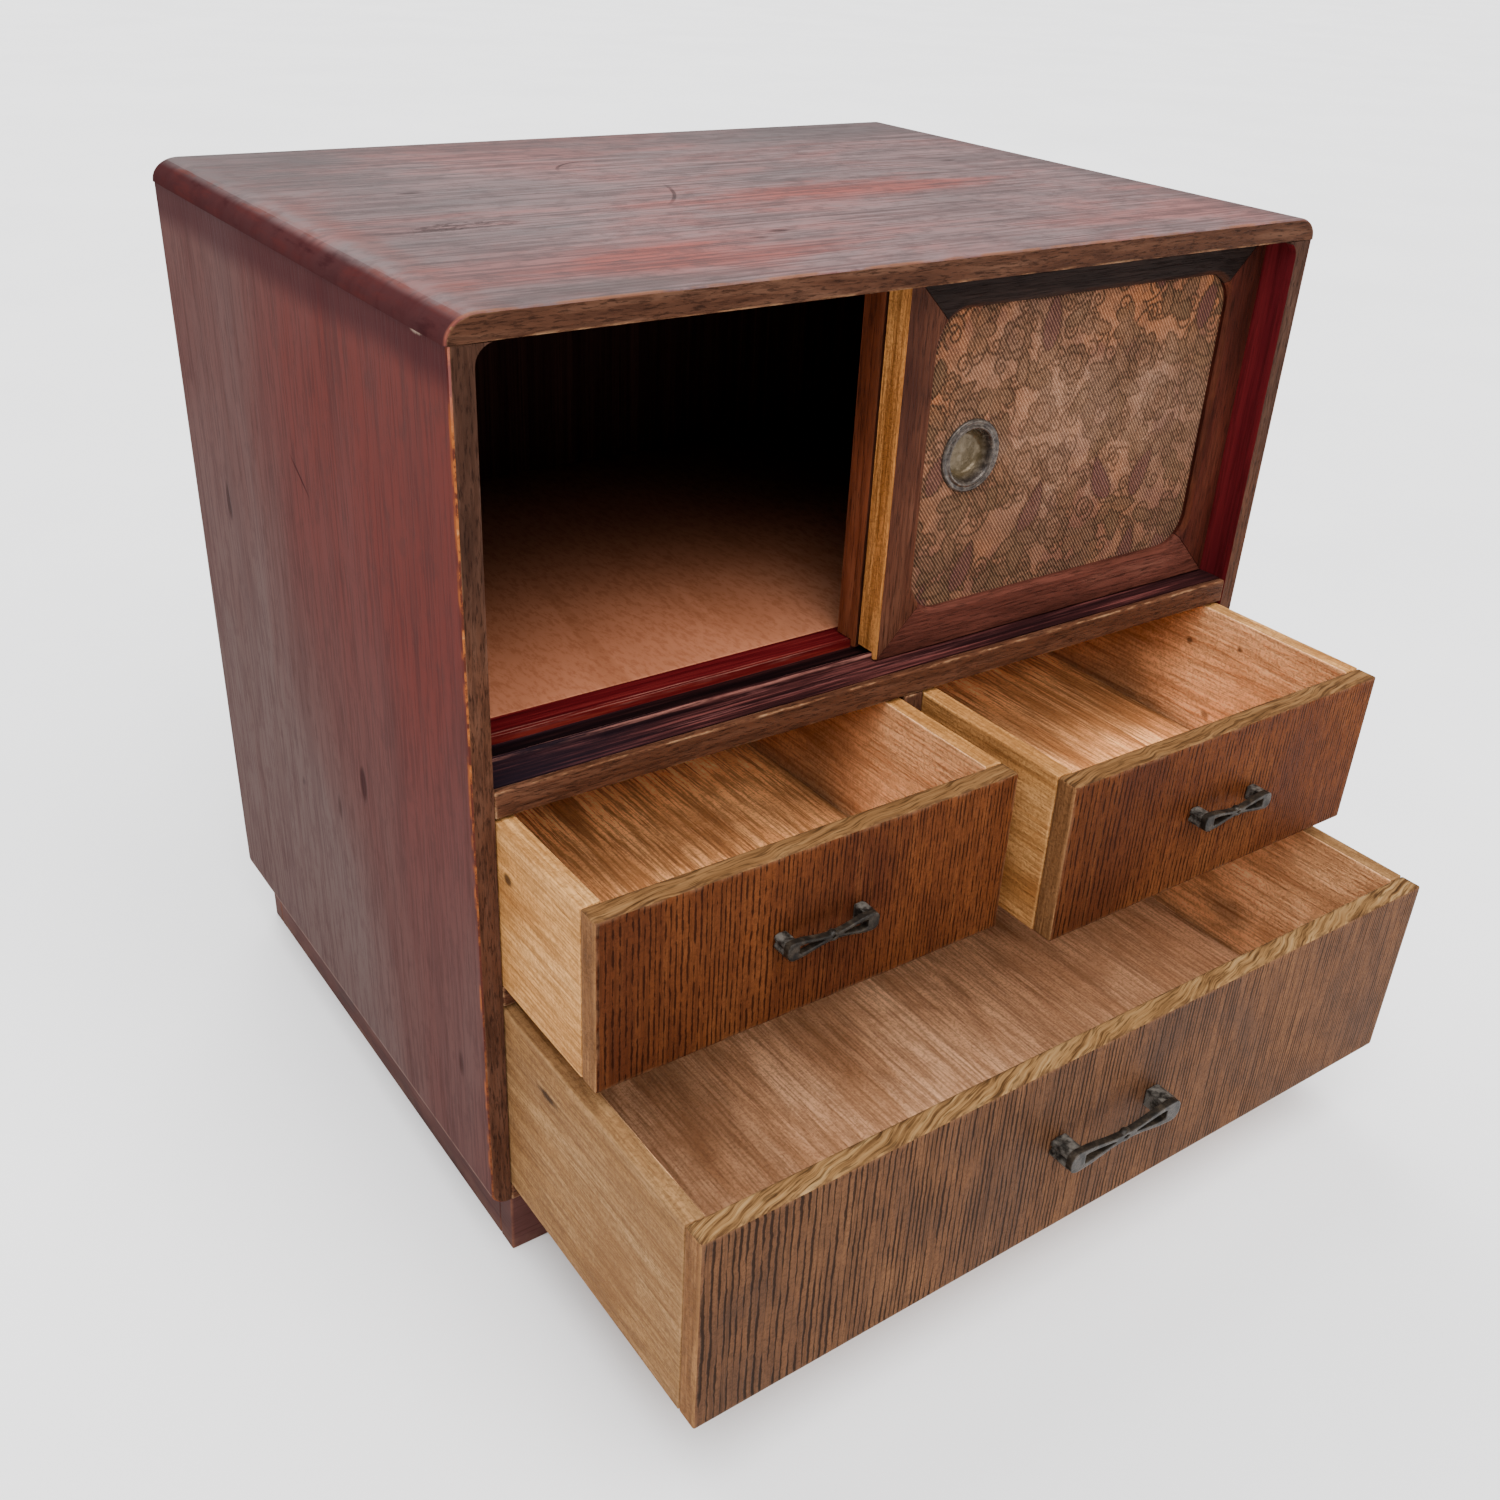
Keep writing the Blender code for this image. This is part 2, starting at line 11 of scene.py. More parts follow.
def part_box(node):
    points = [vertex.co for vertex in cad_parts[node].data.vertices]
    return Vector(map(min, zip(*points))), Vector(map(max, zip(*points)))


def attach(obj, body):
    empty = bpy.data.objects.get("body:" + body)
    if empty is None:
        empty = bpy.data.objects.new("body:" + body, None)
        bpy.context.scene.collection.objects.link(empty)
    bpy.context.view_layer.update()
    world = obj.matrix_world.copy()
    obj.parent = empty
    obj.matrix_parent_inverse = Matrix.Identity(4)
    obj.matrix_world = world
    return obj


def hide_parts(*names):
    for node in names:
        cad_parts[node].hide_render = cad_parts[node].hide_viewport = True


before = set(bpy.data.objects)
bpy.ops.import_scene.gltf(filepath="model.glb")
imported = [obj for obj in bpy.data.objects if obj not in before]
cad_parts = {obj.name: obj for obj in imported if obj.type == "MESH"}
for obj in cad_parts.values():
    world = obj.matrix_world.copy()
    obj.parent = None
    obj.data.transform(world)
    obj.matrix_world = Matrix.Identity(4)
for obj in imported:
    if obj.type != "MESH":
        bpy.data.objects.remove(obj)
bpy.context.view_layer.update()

DOORS = ("front_door", "rear_door")
DRAWERS = ("left_drawer", "right_drawer", "lower_drawer")
ACROSS, DEEP, UPRIGHT = range(3)

# Sizes shared with the solids, in metres
GAP = 0.0003
TOP_ROUND = 0.0135
TOP_EDGE_FLAT = 0.0005
SIDE_FOOT_FLAT = 0.0010
CORNER_FILLET = 0.0085
GROOVE_DEPTH = 0.0055
GROOVE_CLEAR = 0.0004
RIB_HEIGHT = 0.0035
RIB_THICK = 0.0022
TONGUE = 0.0030
RUN_CLEAR = 0.0004
DOOR_FRAME = 0.0195
DOOR_CORNER = 0.0170
CUP_RADIUS = 0.0122
CUP_DEPTH = 0.0062
PULL_WALL = 0.0009

# Places read from the solids
SILL_LOW, SILL_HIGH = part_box("door_sill")
SILL_TOP = SILL_HIGH.z
SOFFIT_Z, TOP_Z = (corner.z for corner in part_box("top_board"))
INNER_X, FOOT_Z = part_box("right_side")[0].x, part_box("right_side")[0].z
FRONT_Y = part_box("shelf_band")[0].y
SILL_RIB_Y, SILL_RAIL_Y = (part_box(door + "_left_stile")[0].y + TONGUE + RUN_CLEAR for door in DOORS)
HANDLES = [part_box(drawer + "_handle") for drawer in DRAWERS]
PANEL_MIDDLE = sum(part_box("front_door_panel"), Vector()) / 2

# Fineness of the worn meshes, in metres
ARRIS = 0.0006
STRIP = 0.0007
CELL = 0.014
WIDE_CELL = 0.02
HIDDEN_CELL = 0.03
CLOTH_CELL = 0.0006
VOXEL = 0.0003
BEND = 0.3
PULL_STEPS = 72
SHARP_ANGLE = 35

# Wear: how far noise breaks up the edge of a patch, and half the width of a scratch in metres
RAGGED = 2.6
SCRATCH_HALF = 0.0009

# The brocade's weave: direction in X and Z, and its pitch in metres
TWILL_X, TWILL_Z = 0.8, 0.6
TWILL_PITCH = 0.0015

# How much brighter than its base colour a surface comes out under a light of 1
EXPOSURE = 1.2

# The camera fitted to the photograph: angles in degrees, lens in the photograph's pixels, place in metres
YAW, PITCH, ROLL = 36.421, -29.869, 3.065
PHOTO_PIXELS = 1500
FOCAL_PIXELS = 1526.69
SHIFT_PIXELS = (-1.592, 5.223)
SENSOR_MM = 36.0
CAMERA_PLACE = Vector((-0.442408, FRONT_Y - 0.472512, 0.577001))


def srgb(red, green, blue):
    """Display colour, 0 to 255, as a linear colour."""
    scaled = [channel / 255 for channel in (red, green, blue)]
    return [((c + 0.055) / 1.055) ** 2.4 if c > 0.04045 else c / 12.92 for c in scaled]


def operator(operation, turned=False):
    """A method that puts a value, and perhaps another, through a Math node."""

    def apply(self, other=0.0):
        return self.look.math(operation, *((other, self) if turned else (self, other)))

    return apply


class Level:
    """A value inside a material. Sums on it add nodes; | takes the larger of two values."""

    __add__ = __radd__ = operator("ADD")
    __mul__ = __rmul__ = operator("MULTIPLY")
    __sub__, __rsub__ = operator("SUBTRACT"), operator("SUBTRACT", turned=True)
    __truediv__ = operator("DIVIDE")
    __mod__ = operator("FLOORED_MODULO")
    __or__ = operator("MAXIMUM")
    __abs__ = operator("ABSOLUTE")
    sine, root, floor, fract = (operator(name) for name in ("SINE", "SQRT", "FLOOR", "FRACT"))

    def __init__(self, look, socket):
        self.look, self.socket = look, socket

    def step(self, low, high, to_low=0.0, to_high=1.0):
        """Smooth step between two levels."""
        node = self.look.add("MapRange", interpolation_type="SMOOTHSTEP")
        for socket, value in zip(node.inputs, (self, low, high, to_low, to_high)):
            self.look.put(socket, value)
        return Level(self.look, node.outputs[0])

    def spread(self, low, high):
        """A noise value's usual range, spread between two levels."""
        return self.step(0.3, 0.7, low, high)

    def near(self, at, half):
        """1 close to a level, 0 away from it."""
        return abs(self - at).step(1.4 * half, 0.5 * half)


class Look:
    """One procedural material, built up coat by coat in object coordinates."""

    def __init__(self, name, light):
        self.light = light
        self.material = bpy.data.materials.new(name)
        self.material.use_nodes = True
        self.tree = self.material.node_tree
        self.shader = self.tree.nodes["Principled BSDF"]
        self.where = self.add("TexCoord").outputs["Object"]
        split = self.add("SeparateXYZ")
        self.put(split.inputs[0], self.where)
        self.x, self.y, self.z = (Level(self, socket) for socket in split.outputs)

    def seen(self, red, green, blue):
        """Base colour that looks like this display colour under the light that falls on the surface."""
        return (*[channel / (self.light * EXPOSURE) for channel in srgb(red, green, blue)], 1.0)

    def put(self, socket, value):
        """Link a socket, or set its value."""
        value = value.socket if isinstance(value, Level) else value
        if isinstance(value, bpy.types.NodeSocket):
            self.tree.links.new(value, socket)
        else:
            socket.default_value = value

    def fill(self, node, **values):
        """Link or set a node's inputs by name."""
        for name, value in values.items():
            self.put(node.inputs[name.replace("_", " ")], value)

    def add(self, kind, **settings):
        """Add a node with its settings."""
        node = self.tree.nodes.new("ShaderNode" + kind)
        for key, value in settings.items():
            setattr(node, key, value)
        return node

    def math(self, operation, first, second):
        """One Math node."""
        node = self.add("Math", operation=operation)
        self.put(node.inputs[0], first)
        self.put(node.inputs[1], second)
        return Level(self, node.outputs[0])

    def place(self, scale, shift):
        """Object coordinates, scaled by one number or three, and shifted."""
        node = self.add("VectorMath", operation="MULTIPLY_ADD")
        self.put(node.inputs[0], self.where)
        self.put(node.inputs[1], scale if isinstance(scale, tuple) else (scale,) * 3)
        self.put(node.inputs[2], shift)
        return node.outputs[0]

    def join(self, x, y, z):
        """A vector from three values."""
        node = self.add("CombineXYZ")
        for socket, value in zip(node.inputs, (x, y, z)):
            self.put(socket, value)
        return node.outputs[0]

    def fractal(self, where, detail=4, rough=0.5, twist=0.0):
        """Fractal noise at a vector."""
        node = self.add("TexNoise")
        self.fill(node, Vector=where, Scale=1.0, Detail=detail, Roughness=rough, Distortion=twist)
        return Level(self, node.outputs["Fac"])

    def noise(self, scale, shift=(0, 0, 0), **settings):
        """Fractal noise with so many patches to the metre."""
        return self.fractal(self.place(scale, shift), **settings)

    def streaks(self, along, across, length, low, high, shift=(0, 0, 0)):
        """Fibres drawn out along one axis, from 0 to 1; so many across a metre, so many along it."""
        return self.noise(stretched(along, across, length), shift, rough=0.65).step(low, high)

    def cells(self, scale, shift):
        """Distance to the nearest of many strewn points."""
        node = self.add("TexVoronoi")
        self.fill(node, Vector=self.place(scale, shift), Scale=1.0)
        return Level(self, node.outputs["Distance"])

    def stored(self, name):
        """A value stored on the mesh's points."""
        return Level(self, self.add("Attribute", attribute_name=name).outputs["Fac"])

    def away(self, first, second, centre, reach=(1, 1)):
        """Distance from a place, in shares of a reach."""
        a, b = (first - centre[0]) / reach[0], (second - centre[1]) / reach[1]
        return (a * a + b * b).root()

    def spot(self, first, second, centre, reach, noise=0.5):
        """A soft patch round a place, its edge broken up by a noise value."""
        return (self.away(first, second, centre, reach) + (noise - 0.5) * RAGGED).step(1.1, 0.2)

    def scratch(self, first, second, centre, radius, at, reach):
        """Part of a thin ring: the trace of something dragged across."""
        ring = self.away(first, second, centre).near(radius, SCRATCH_HALF)
        return ring * self.spot(first, second, at, reach)

    def ramp(self, value, positions, tones):
        """Display colours blended along a value."""
        node = self.add("ValToRGB")
        elements = node.color_ramp.elements
        while len(elements) < len(tones):
            elements.new(0.5)
        for element, position, tone in zip(elements, positions, tones):
            element.position = position
            element.color = self.seen(*tone)
        self.put(node.inputs[0], value)
        return node.outputs[0]

    def paint(self, colour):
        """A ramp as it is, or a display colour made fit for this light."""
        return colour if isinstance(colour, bpy.types.NodeSocket) else self.seen(*colour)

    def base(self, colour):
        """The first coat."""
        self.colour = self.paint(colour)

    def over(self, share, strength, colour):
        """One more coat, laid where a value is high."""
        node = self.add("Mix", data_type="RGBA", clamp_factor=True)
        self.put(node.inputs[0], share * strength)
        self.put(node.inputs[6], self.colour)
        self.put(node.inputs[7], self.paint(colour))
        self.colour = node.outputs[2]

    def worn(self, share, strength, colour):
        """One more coat, on the worn arrises only."""
        self.over(self.stored("wear") * share, strength, colour)

    def finish(self, rough, height=None, relief=0.0002, strength=1.0, gloss=0.03, metal=0.0):
        """Wire up the shader."""
        self.fill(self.shader, Base_Color=self.colour, Roughness=rough)
        self.fill(self.shader, Metallic=metal, Specular_IOR_Level=gloss)
        if height is not None:
            bump = self.add("Bump")
            self.fill(bump, Strength=strength, Distance=relief, Height=height)
            self.fill(self.shader, Normal=bump.outputs[0])
        return self.material


def stretched(along, across, length):
    """Scales that draw a pattern out along one axis."""
    return tuple(length if axis == along else across for axis in range(3))


def lacquer_top(name, gloss):
    """Top board: red lacquer under a painted grey sheen, over straight grain, dark at the rim, with old
    scratches.
    """
    look = Look(name, 2.6)
    x, y, z = look.x, look.y, look.z
    patch = look.noise((6, 15, 13), detail=6, rough=0.7, twist=0.4)
    ragged = look.noise((16, 60, 40), (6, 6, 2), detail=6, rough=0.7)
    mottle = look.noise((70, 120, 60), (1, 3, 2), detail=5, rough=0.7)
    inland = x.step(-0.224, -0.204)
    fine = look.streaks(ACROSS, 420, 14, 0.45, 0.60) * inland
    broad = look.streaks(ACROSS, 130, 7, 0.47, 0.64, (3, 1, 0)) * inland
    # Base colour: red lacquer with a painted grey sheen of reflected light mixed in.
    look.base(look.ramp(patch, (0.38, 0.50, 0.62), ((168, 148, 148), (194, 158, 157), (210, 148, 144))))
    front_red = look.spot(x, y, (-0.11, -0.035), (0.10, 0.030), ragged)
    look.over(front_red | look.spot(x, y, (0.05, 0.06), (0.12, 0.030), ragged), 0.75, (216, 112, 100))
    look.over(look.spot(x, y, (-0.209, 0.05), (0.009, 0.16), ragged), 0.4, (200, 104, 86))
    look.over(broad, 0.42, (130, 104, 104))
    look.over(fine, 0.55, (108, 86, 86))
    look.over(x.step(-0.10, -0.19), 0.3, (112, 100, 101))
    look.over(mottle.step(0.48, 0.62), 0.45, (118, 98, 98))
    look.over(look.spot(x, y, (-0.15, -0.065), (0.06, 0.020), ragged), 0.6, (124, 108, 106))

    wave = look.noise((7, 14, 7), (9, 2, 4), detail=3)
    right, back = (x + wave * 0.05).step(0.21, 0.25), (y + wave * 0.10).step(0.20, 0.30)
    look.over(right | back | look.spot(x, y, (-0.20, 0.20), (0.10, 0.10), ragged), 0.5, (112, 102, 102))
    level = z.step(TOP_Z - 0.0032, TOP_Z - 0.0002)
    rounding = 1.0 - level
    rubbed = look.noise((90, 22, 90), (4, 3, 8), detail=5, rough=0.65)
    look.over(rounding, 0.9, (92, 44, 46))
    look.over(rounding * rubbed.step(0.48, 0.66), 0.45, (128, 62, 58))
    look.over(rounding * rubbed.step(0.46, 0.34), 0.5, (66, 32, 38))
    look.over(z.near(TOP_Z - 0.0012, 0.0008) * rubbed.step(0.48, 0.60), 0.4, (160, 82, 68))

    crack = (y - (x + ragged) * 0.06).near(0.0286, 0.0012) * look.spot(x, y, (-0.165, 0.05), (0.045, 0.02))
    dent = look.spot(x, y, (-0.1526, 0.1218), (0.008, 0.0032))
    hook = look.scratch(x, y, (-0.033, 0.145), 0.028, (-0.045, 0.166), (0.028, 0.024))
    sweep = look.scratch(x, y, (-0.12, 0.125), 0.093, (-0.041, 0.080), (0.026, 0.032))
    nick = look.cells((22, 46, 46), (3.1, 0.7, 0.0)).step(0.17, 0.07)
    rare = look.noise((11, 15, 11), (2, 5, 1), detail=1).step(0.60, 0.64)
    marks = (crack | dent | hook | sweep | nick * rare) * level
    look.over(marks, 0.65, (62, 46, 45))
    look.worn(look.noise((60, 120, 120)).step(0.42, 0.60), 0.75, (196, 128, 88))
    bare = look.spot(x, z, (-0.2275, TOP_Z - 0.0042), (0.012, 0.012), rubbed)
    look.worn(look.stored("wear") * bare, 0.6, (222, 128, 108))
    return look.finish(patch.spread(0.42, 0.6), fine * -0.4 - marks, 0.0003, 0.5, gloss)


def lacquer_side():
    """Side boards: red lacquer over upright grain, redder near the front and the top, with a painted grey
    reflection towards the back and the foot.
    """
    look = Look("lacquer_side", 1.8)
    x, y, z = look.x, look.y, look.z
    patch = look.noise((9, 8, 2.4), (2, 7, 1), detail=5, rough=0.6, twist=0.5)
    mottle = look.noise((70, 90, 50), (1, 6, 2), detail=5, rough=0.7)
    fine = look.streaks(UPRIGHT, 420, 30, 0.44, 0.62)
    # Painted grey reflection: the lacquer turns grey towards the back and the foot, and red towards the front
    # and the top.
    redness_vs_sheen = (y.step(0.20, -0.075) + z.step(0.10, 0.42)) * 0.5 + (patch - 0.5) * 0.9
    look.base(look.ramp(redness_vs_sheen, (0.15, 0.50, 0.85), ((122, 97, 92), (120, 80, 75), (127, 63, 57))))
    look.over(look.streaks(UPRIGHT, 70, 6, 0.46, 0.66, (5, 3, 0)), 0.4, (94, 58, 55))
    look.over(fine, 0.4, (84, 50, 48))
    look.over(mottle.step(0.50, 0.66), 0.35, (92, 58, 55))
    shade = z + look.noise((5, 14, 5), detail=3) * 0.012
    look.over(shade.step(SOFFIT_Z - 0.0155, SOFFIT_Z - 0.0025), 0.8, (80, 36, 39))
    look.over(z.near(FOOT_Z + 0.0072, 0.0010) * mottle.step(0.38, 0.52), 0.6, (172, 132, 118))

    left = x.step(0.0, -0.01)
    dent = look.cells((60, 34, 13), (2.3, 1.7, 0.4)).step(0.16, 0.08)
    rare = look.noise((9, 17, 13), (1, 1, 6), detail=1).step(0.60, 0.64)
    slope = (y - 0.081) * 0.573 - z * 0.819
    split = slope.near(-0.2785, 0.0008) * look.spot(y, z, (0.081, 0.340), (0.015, 0.012))
    nick = dent * rare | split * left
    look.over(nick, 0.75, (56, 22, 22))
    look.over(look.spot(y, z, (-0.055, SOFFIT_Z), (0.006, 0.0016), mottle) * left, 0.9, (226, 196, 174))
    chip = look.noise((90, 90, 70), detail=3).step(0.46, 0.62)
    look.worn(chip, 0.85, (200, 112, 58))
    return look.finish(patch.spread(0.5, 0.66), fine * -0.3 - nick, 0.0003, 0.5, 0.01)


def lacquer_inner(name, along, dark, bright):
    """Lacquer on inner faces, smoother and darker."""
    look = Look(name, 1.3)
    tone = look.noise(stretched(along, 70, 5), (1, 2, 3), rough=0.6)
    grain = look.streaks(along, 500, 20, 0.46, 0.64)
    look.base(dark)
    look.over(tone.step(0.36, 0.64), 1.0, bright)
    look.over(grain, 0.35, (28, 12, 12))
    look.worn(look.noise(50).step(0.45, 0.65), 0.5, (140, 80, 58))
    return look.finish(tone.spread(0.4, 0.56), grain, 0.0001, 0.4)


def band_wood(name, along, tones):
    """Edge bands: dark stain rubbed through to brown, pale along the arrises."""
    look = Look(name, 1.9)
    patch = look.noise(stretched(along, 150, 18), (7, 1, 3), detail=5, rough=0.6)
    grain = look.streaks(along, 700, 70, 0.46, 0.62)
    pore = look.streaks(along, 1100, 160, 0.53, 0.64, (3, 3, 3))
    look.base(look.ramp(patch, (0.34, 0.50, 0.66), tones))
    look.over(look.z.step(0.36, 0.30), 0.25, (160, 98, 66))
    look.over(grain, 0.5, (66, 40, 29))
    look.over(pore, 0.6, (38, 22, 16))
    rub = look.noise(stretched(along, 300, 60), (2, 8, 1), detail=5, rough=0.7)
    pale = look.ramp(rub, (0.42, 0.64), ((156, 90, 54), (210, 162, 120)))
    look.worn(look.stored("wear") * rub.step(0.42, 0.60), 0.9, pale)
    return look.finish(patch.spread(0.50, 0.66), (grain + pore) * -1, 0.0002, 0.7)


def rubbed_arris():
    """Outer front arrises: lacquer rubbed through to orange wood in a broken line, most of all high up."""
    look = Look("rubbed_arris", 1.5)
    rub = look.noise((160, 160, 110), (2, 5, 3), detail=5, rough=0.7)
    look.base((98, 50, 40))
    look.over(rub.step(0.45, 0.57), 1.0, (180, 104, 52))
    look.over(rub.step(0.58, 0.68), 0.7, (214, 156, 104))
    look.over(look.z.step(0.32, 0.10), 0.6, (96, 54, 45))
    look.over(look.z.step(0.405, 0.42), 0.5, (170, 106, 100))
    return look.finish(rub.spread(0.5, 0.7), rub, 0.0002, 0.6)


def sill_wood():
    """Door sill: dark tracks, a red rail and ridges worn to pale double lines."""
    look = Look("sill_wood", 1.5)
    x, y, z = look.x, look.y, look.z
    depth = y + (look.noise((30, 200, 200), detail=5, rough=0.7) - 0.5) * 0.0011
    streak = look.noise((9, 420, 200), (4, 1, 2), detail=5, rough=0.7)
    rub = look.noise((16, 500, 300), (2, 2, 7), detail=5, rough=0.75)
    look.base(look.ramp(streak, (0.44, 0.55, 0.67), ((40, 21, 23), (70, 36, 36), (138, 78, 73))))
    # Painted bluish sheen on the left part of the front track.
    look.over(x.step(-0.10, -0.20), 0.55, (36, 33, 44))
    flank = look.ramp(streak, (0.36, 0.52, 0.68), ((84, 16, 20), (116, 28, 28), (160, 60, 48)))
    look.over(y.step(SILL_RAIL_Y - 0.0003, SILL_RAIL_Y), 1.0, flank)
    rail_top = look.ramp(streak, (0.36, 0.52, 0.68), ((78, 14, 19), (106, 22, 27), (142, 48, 46)))
    look.over(depth.step(SILL_RAIL_Y + 0.0016, SILL_RAIL_Y + 0.0030), 1.0, rail_top)
    groove = y.near((SILL_RIB_Y + RIB_THICK + SILL_RAIL_Y) / 2, 0.0060)
    look.over(groove * z.step(SILL_TOP - 0.0012, SILL_TOP - 0.0030), 0.85, (14, 9, 11))
    middle = abs(x + 0.07).step(0.14, 0.03, 0.25, 1.0)
    look.over(depth.near(SILL_RIB_Y - 0.0045, 0.0060) * rub.step(0.52, 0.70) * middle, 0.7, (160, 96, 92))
    lines = depth.near(SILL_RAIL_Y + 0.0006, 0.0005) | depth.near(SILL_RAIL_Y + 0.0026, 0.0004)
    ridge = depth.near(SILL_RIB_Y + 0.0002, 0.0003) | depth.near(SILL_RIB_Y + 0.0019, 0.0003)
    high = z.step(SILL_TOP - 0.0020, SILL_TOP - 0.0008)
    look.over((lines | ridge) * high * rub.step(0.42, 0.60), 0.8, (184, 122, 108))
    return look.finish(streak.spread(0.34, 0.52), streak + rub, 0.0003, 0.6)


def ply_wood():
    """Cupboard floor: bare warm board with fine flecks, and painted shade darkening it towards the back."""
    look = Look("ply_wood", 0.66)
    patch = look.noise((5, 4, 4), (3, 0, 1), detail=5, rough=0.6, twist=0.6)
    fleck = look.noise((420, 150, 150), rough=0.7)
    ring = look.noise((30, 8, 8), (1, 6, 2), rough=0.6, twist=1.2)
    look.base(look.ramp(patch, (0.3, 0.55, 0.75), ((140, 86, 60), (158, 100, 72), (168, 112, 84))))
    look.over(fleck.step(0.46, 0.62), 0.4, (112, 62, 38))
    look.over(ring.step(0.52, 0.68), 0.3, (120, 70, 44))
    # Painted shade towards the back of the cupboard.
    look.over(look.y.step(-0.01, 0.16), 0.75, (40, 20, 14))
    return look.finish(fleck.spread(0.6, 0.75), fleck, 0.0001, 0.5)


def back_wood():
    """Back board: dark stain with faint upright stripes."""
    look = Look("back_wood", 1.5)
    stripe = look.noise((150, 30, 2), rough=0.7)
    grain = look.noise((900, 300, 18), detail=3)
    look.base(look.ramp(stripe, (0.38, 0.55, 0.70), ((58, 33, 30), (78, 47, 40), (100, 64, 53))))
    look.over(grain.step(0.5, 0.75), 0.5, (26, 16, 14))
    return look.finish(stripe.spread(0.6, 0.78), grain, 0.0002, 0.6)


def plinth_wood():
    """Plinth: dark red-brown stain, scuffed at the foot."""
    look = Look("plinth_wood", 1.4)
    patch = look.noise((14, 14, 30), (6, 2, 2), detail=5, rough=0.65)
    grain = look.noise((25, 25, 700), detail=3)
    look.base(look.ramp(patch, (0.34, 0.52, 0.68), ((76, 47, 43), (98, 62, 57), (118, 82, 75))))
    look.over(grain.step(0.5, 0.75), 0.4, (44, 22, 20))
    look.over(look.z.step(0.012, 0.0) * look.noise((60, 60, 90)).step(0.45, 0.65), 0.5, (120, 88, 74))
    look.worn(patch.step(0.4, 0.6), 0.6, (140, 90, 66))
    return look.finish(patch.spread(0.5, 0.66), grain, 0.0002, 0.5)


def frame_wood(name, along, tones, rubbed=0.4):
    """Door frames: dark brown stain over straight open grain."""
    look = Look(name, 1.35)
    patch = look.noise(stretched(along, 40, 7), (1, 4, 8), detail=5, rough=0.6)
    grain = look.streaks(along, 600, 22, 0.45, 0.62, (5, 0, 2))
    pore = look.streaks(along, 1200, 90, 0.52, 0.64)
    look.base(look.ramp(patch, (0.34, 0.52, 0.68), tones))
    look.over(grain, 0.6, tones[0])
    look.over(pore, 0.55, (24, 12, 9))
    rub = look.noise(stretched(along, 60, 14), (6, 6, 1), rough=0.7)
    look.worn(rub.step(0.38, 0.66), rubbed, (150, 86, 54))
    return look.finish(patch.spread(0.42, 0.58), (grain + pore) * -1, 0.0002, 0.6)


def raw_wood(name, along, light, tones, contrast, marks=(), painted_shade=()):
    """Bare wood: drawer boxes and door edges.

    Dark marks have a centre and reach in Y and Z, a least X and a strength. Painted shade is darkest at a
    plane across one axis and fades over a reach on both sides of it.
    """
    look = Look(name, light)
    bright, mid, dark, deep = tones
    patch = look.noise(stretched(along, 26, 6), (2, 9, 5), detail=5, rough=0.62, twist=0.4)
    board = look.noise(stretched(along, 60, 2), (3, 2, 7), detail=2)
    broad = look.streaks(along, 240, 14, 0.47, 0.62, (8, 1, 4))
    fine = look.streaks(along, 700, 30, 0.45, 0.60)
    speck = look.noise(620, (4, 2, 6), detail=3, rough=0.7).step(0.46, 0.62)
    stain = look.noise(17, (5, 5, 5), detail=6, rough=0.7, twist=0.8)
    look.base(look.ramp(patch, (0.34, 0.5, 0.66), (dark, mid, bright)))
    look.over(board.step(0.42, 0.62), contrast * 0.6, bright)
    look.over(broad, contrast * 0.8, dark)
    look.over(fine, contrast * 0.7, deep)
    look.over(speck, 0.35, deep)
    look.over(stain.step(0.48, 0.66), 0.5, dark)
    look.worn(stain.step(0.35, 0.6), 0.4, bright)
    for centre, reach, least, strength in marks:
        here = look.x.step(least, least + 0.001)
        look.over(look.spot(look.y, look.z, centre, reach, stain) * here, strength, (58, 36, 22))
    # Painted shade of a drawer's corners and depth, laid over the wood.
    for axis, plane, reach, strength in painted_shade:
        look.over(abs((look.x, look.y, look.z)[axis] - plane).step(reach, 0), strength, (50, 29, 16))
    return look.finish(patch.spread(0.6, 0.75), (fine + broad + speck) * -1, 0.0003, 0.8)


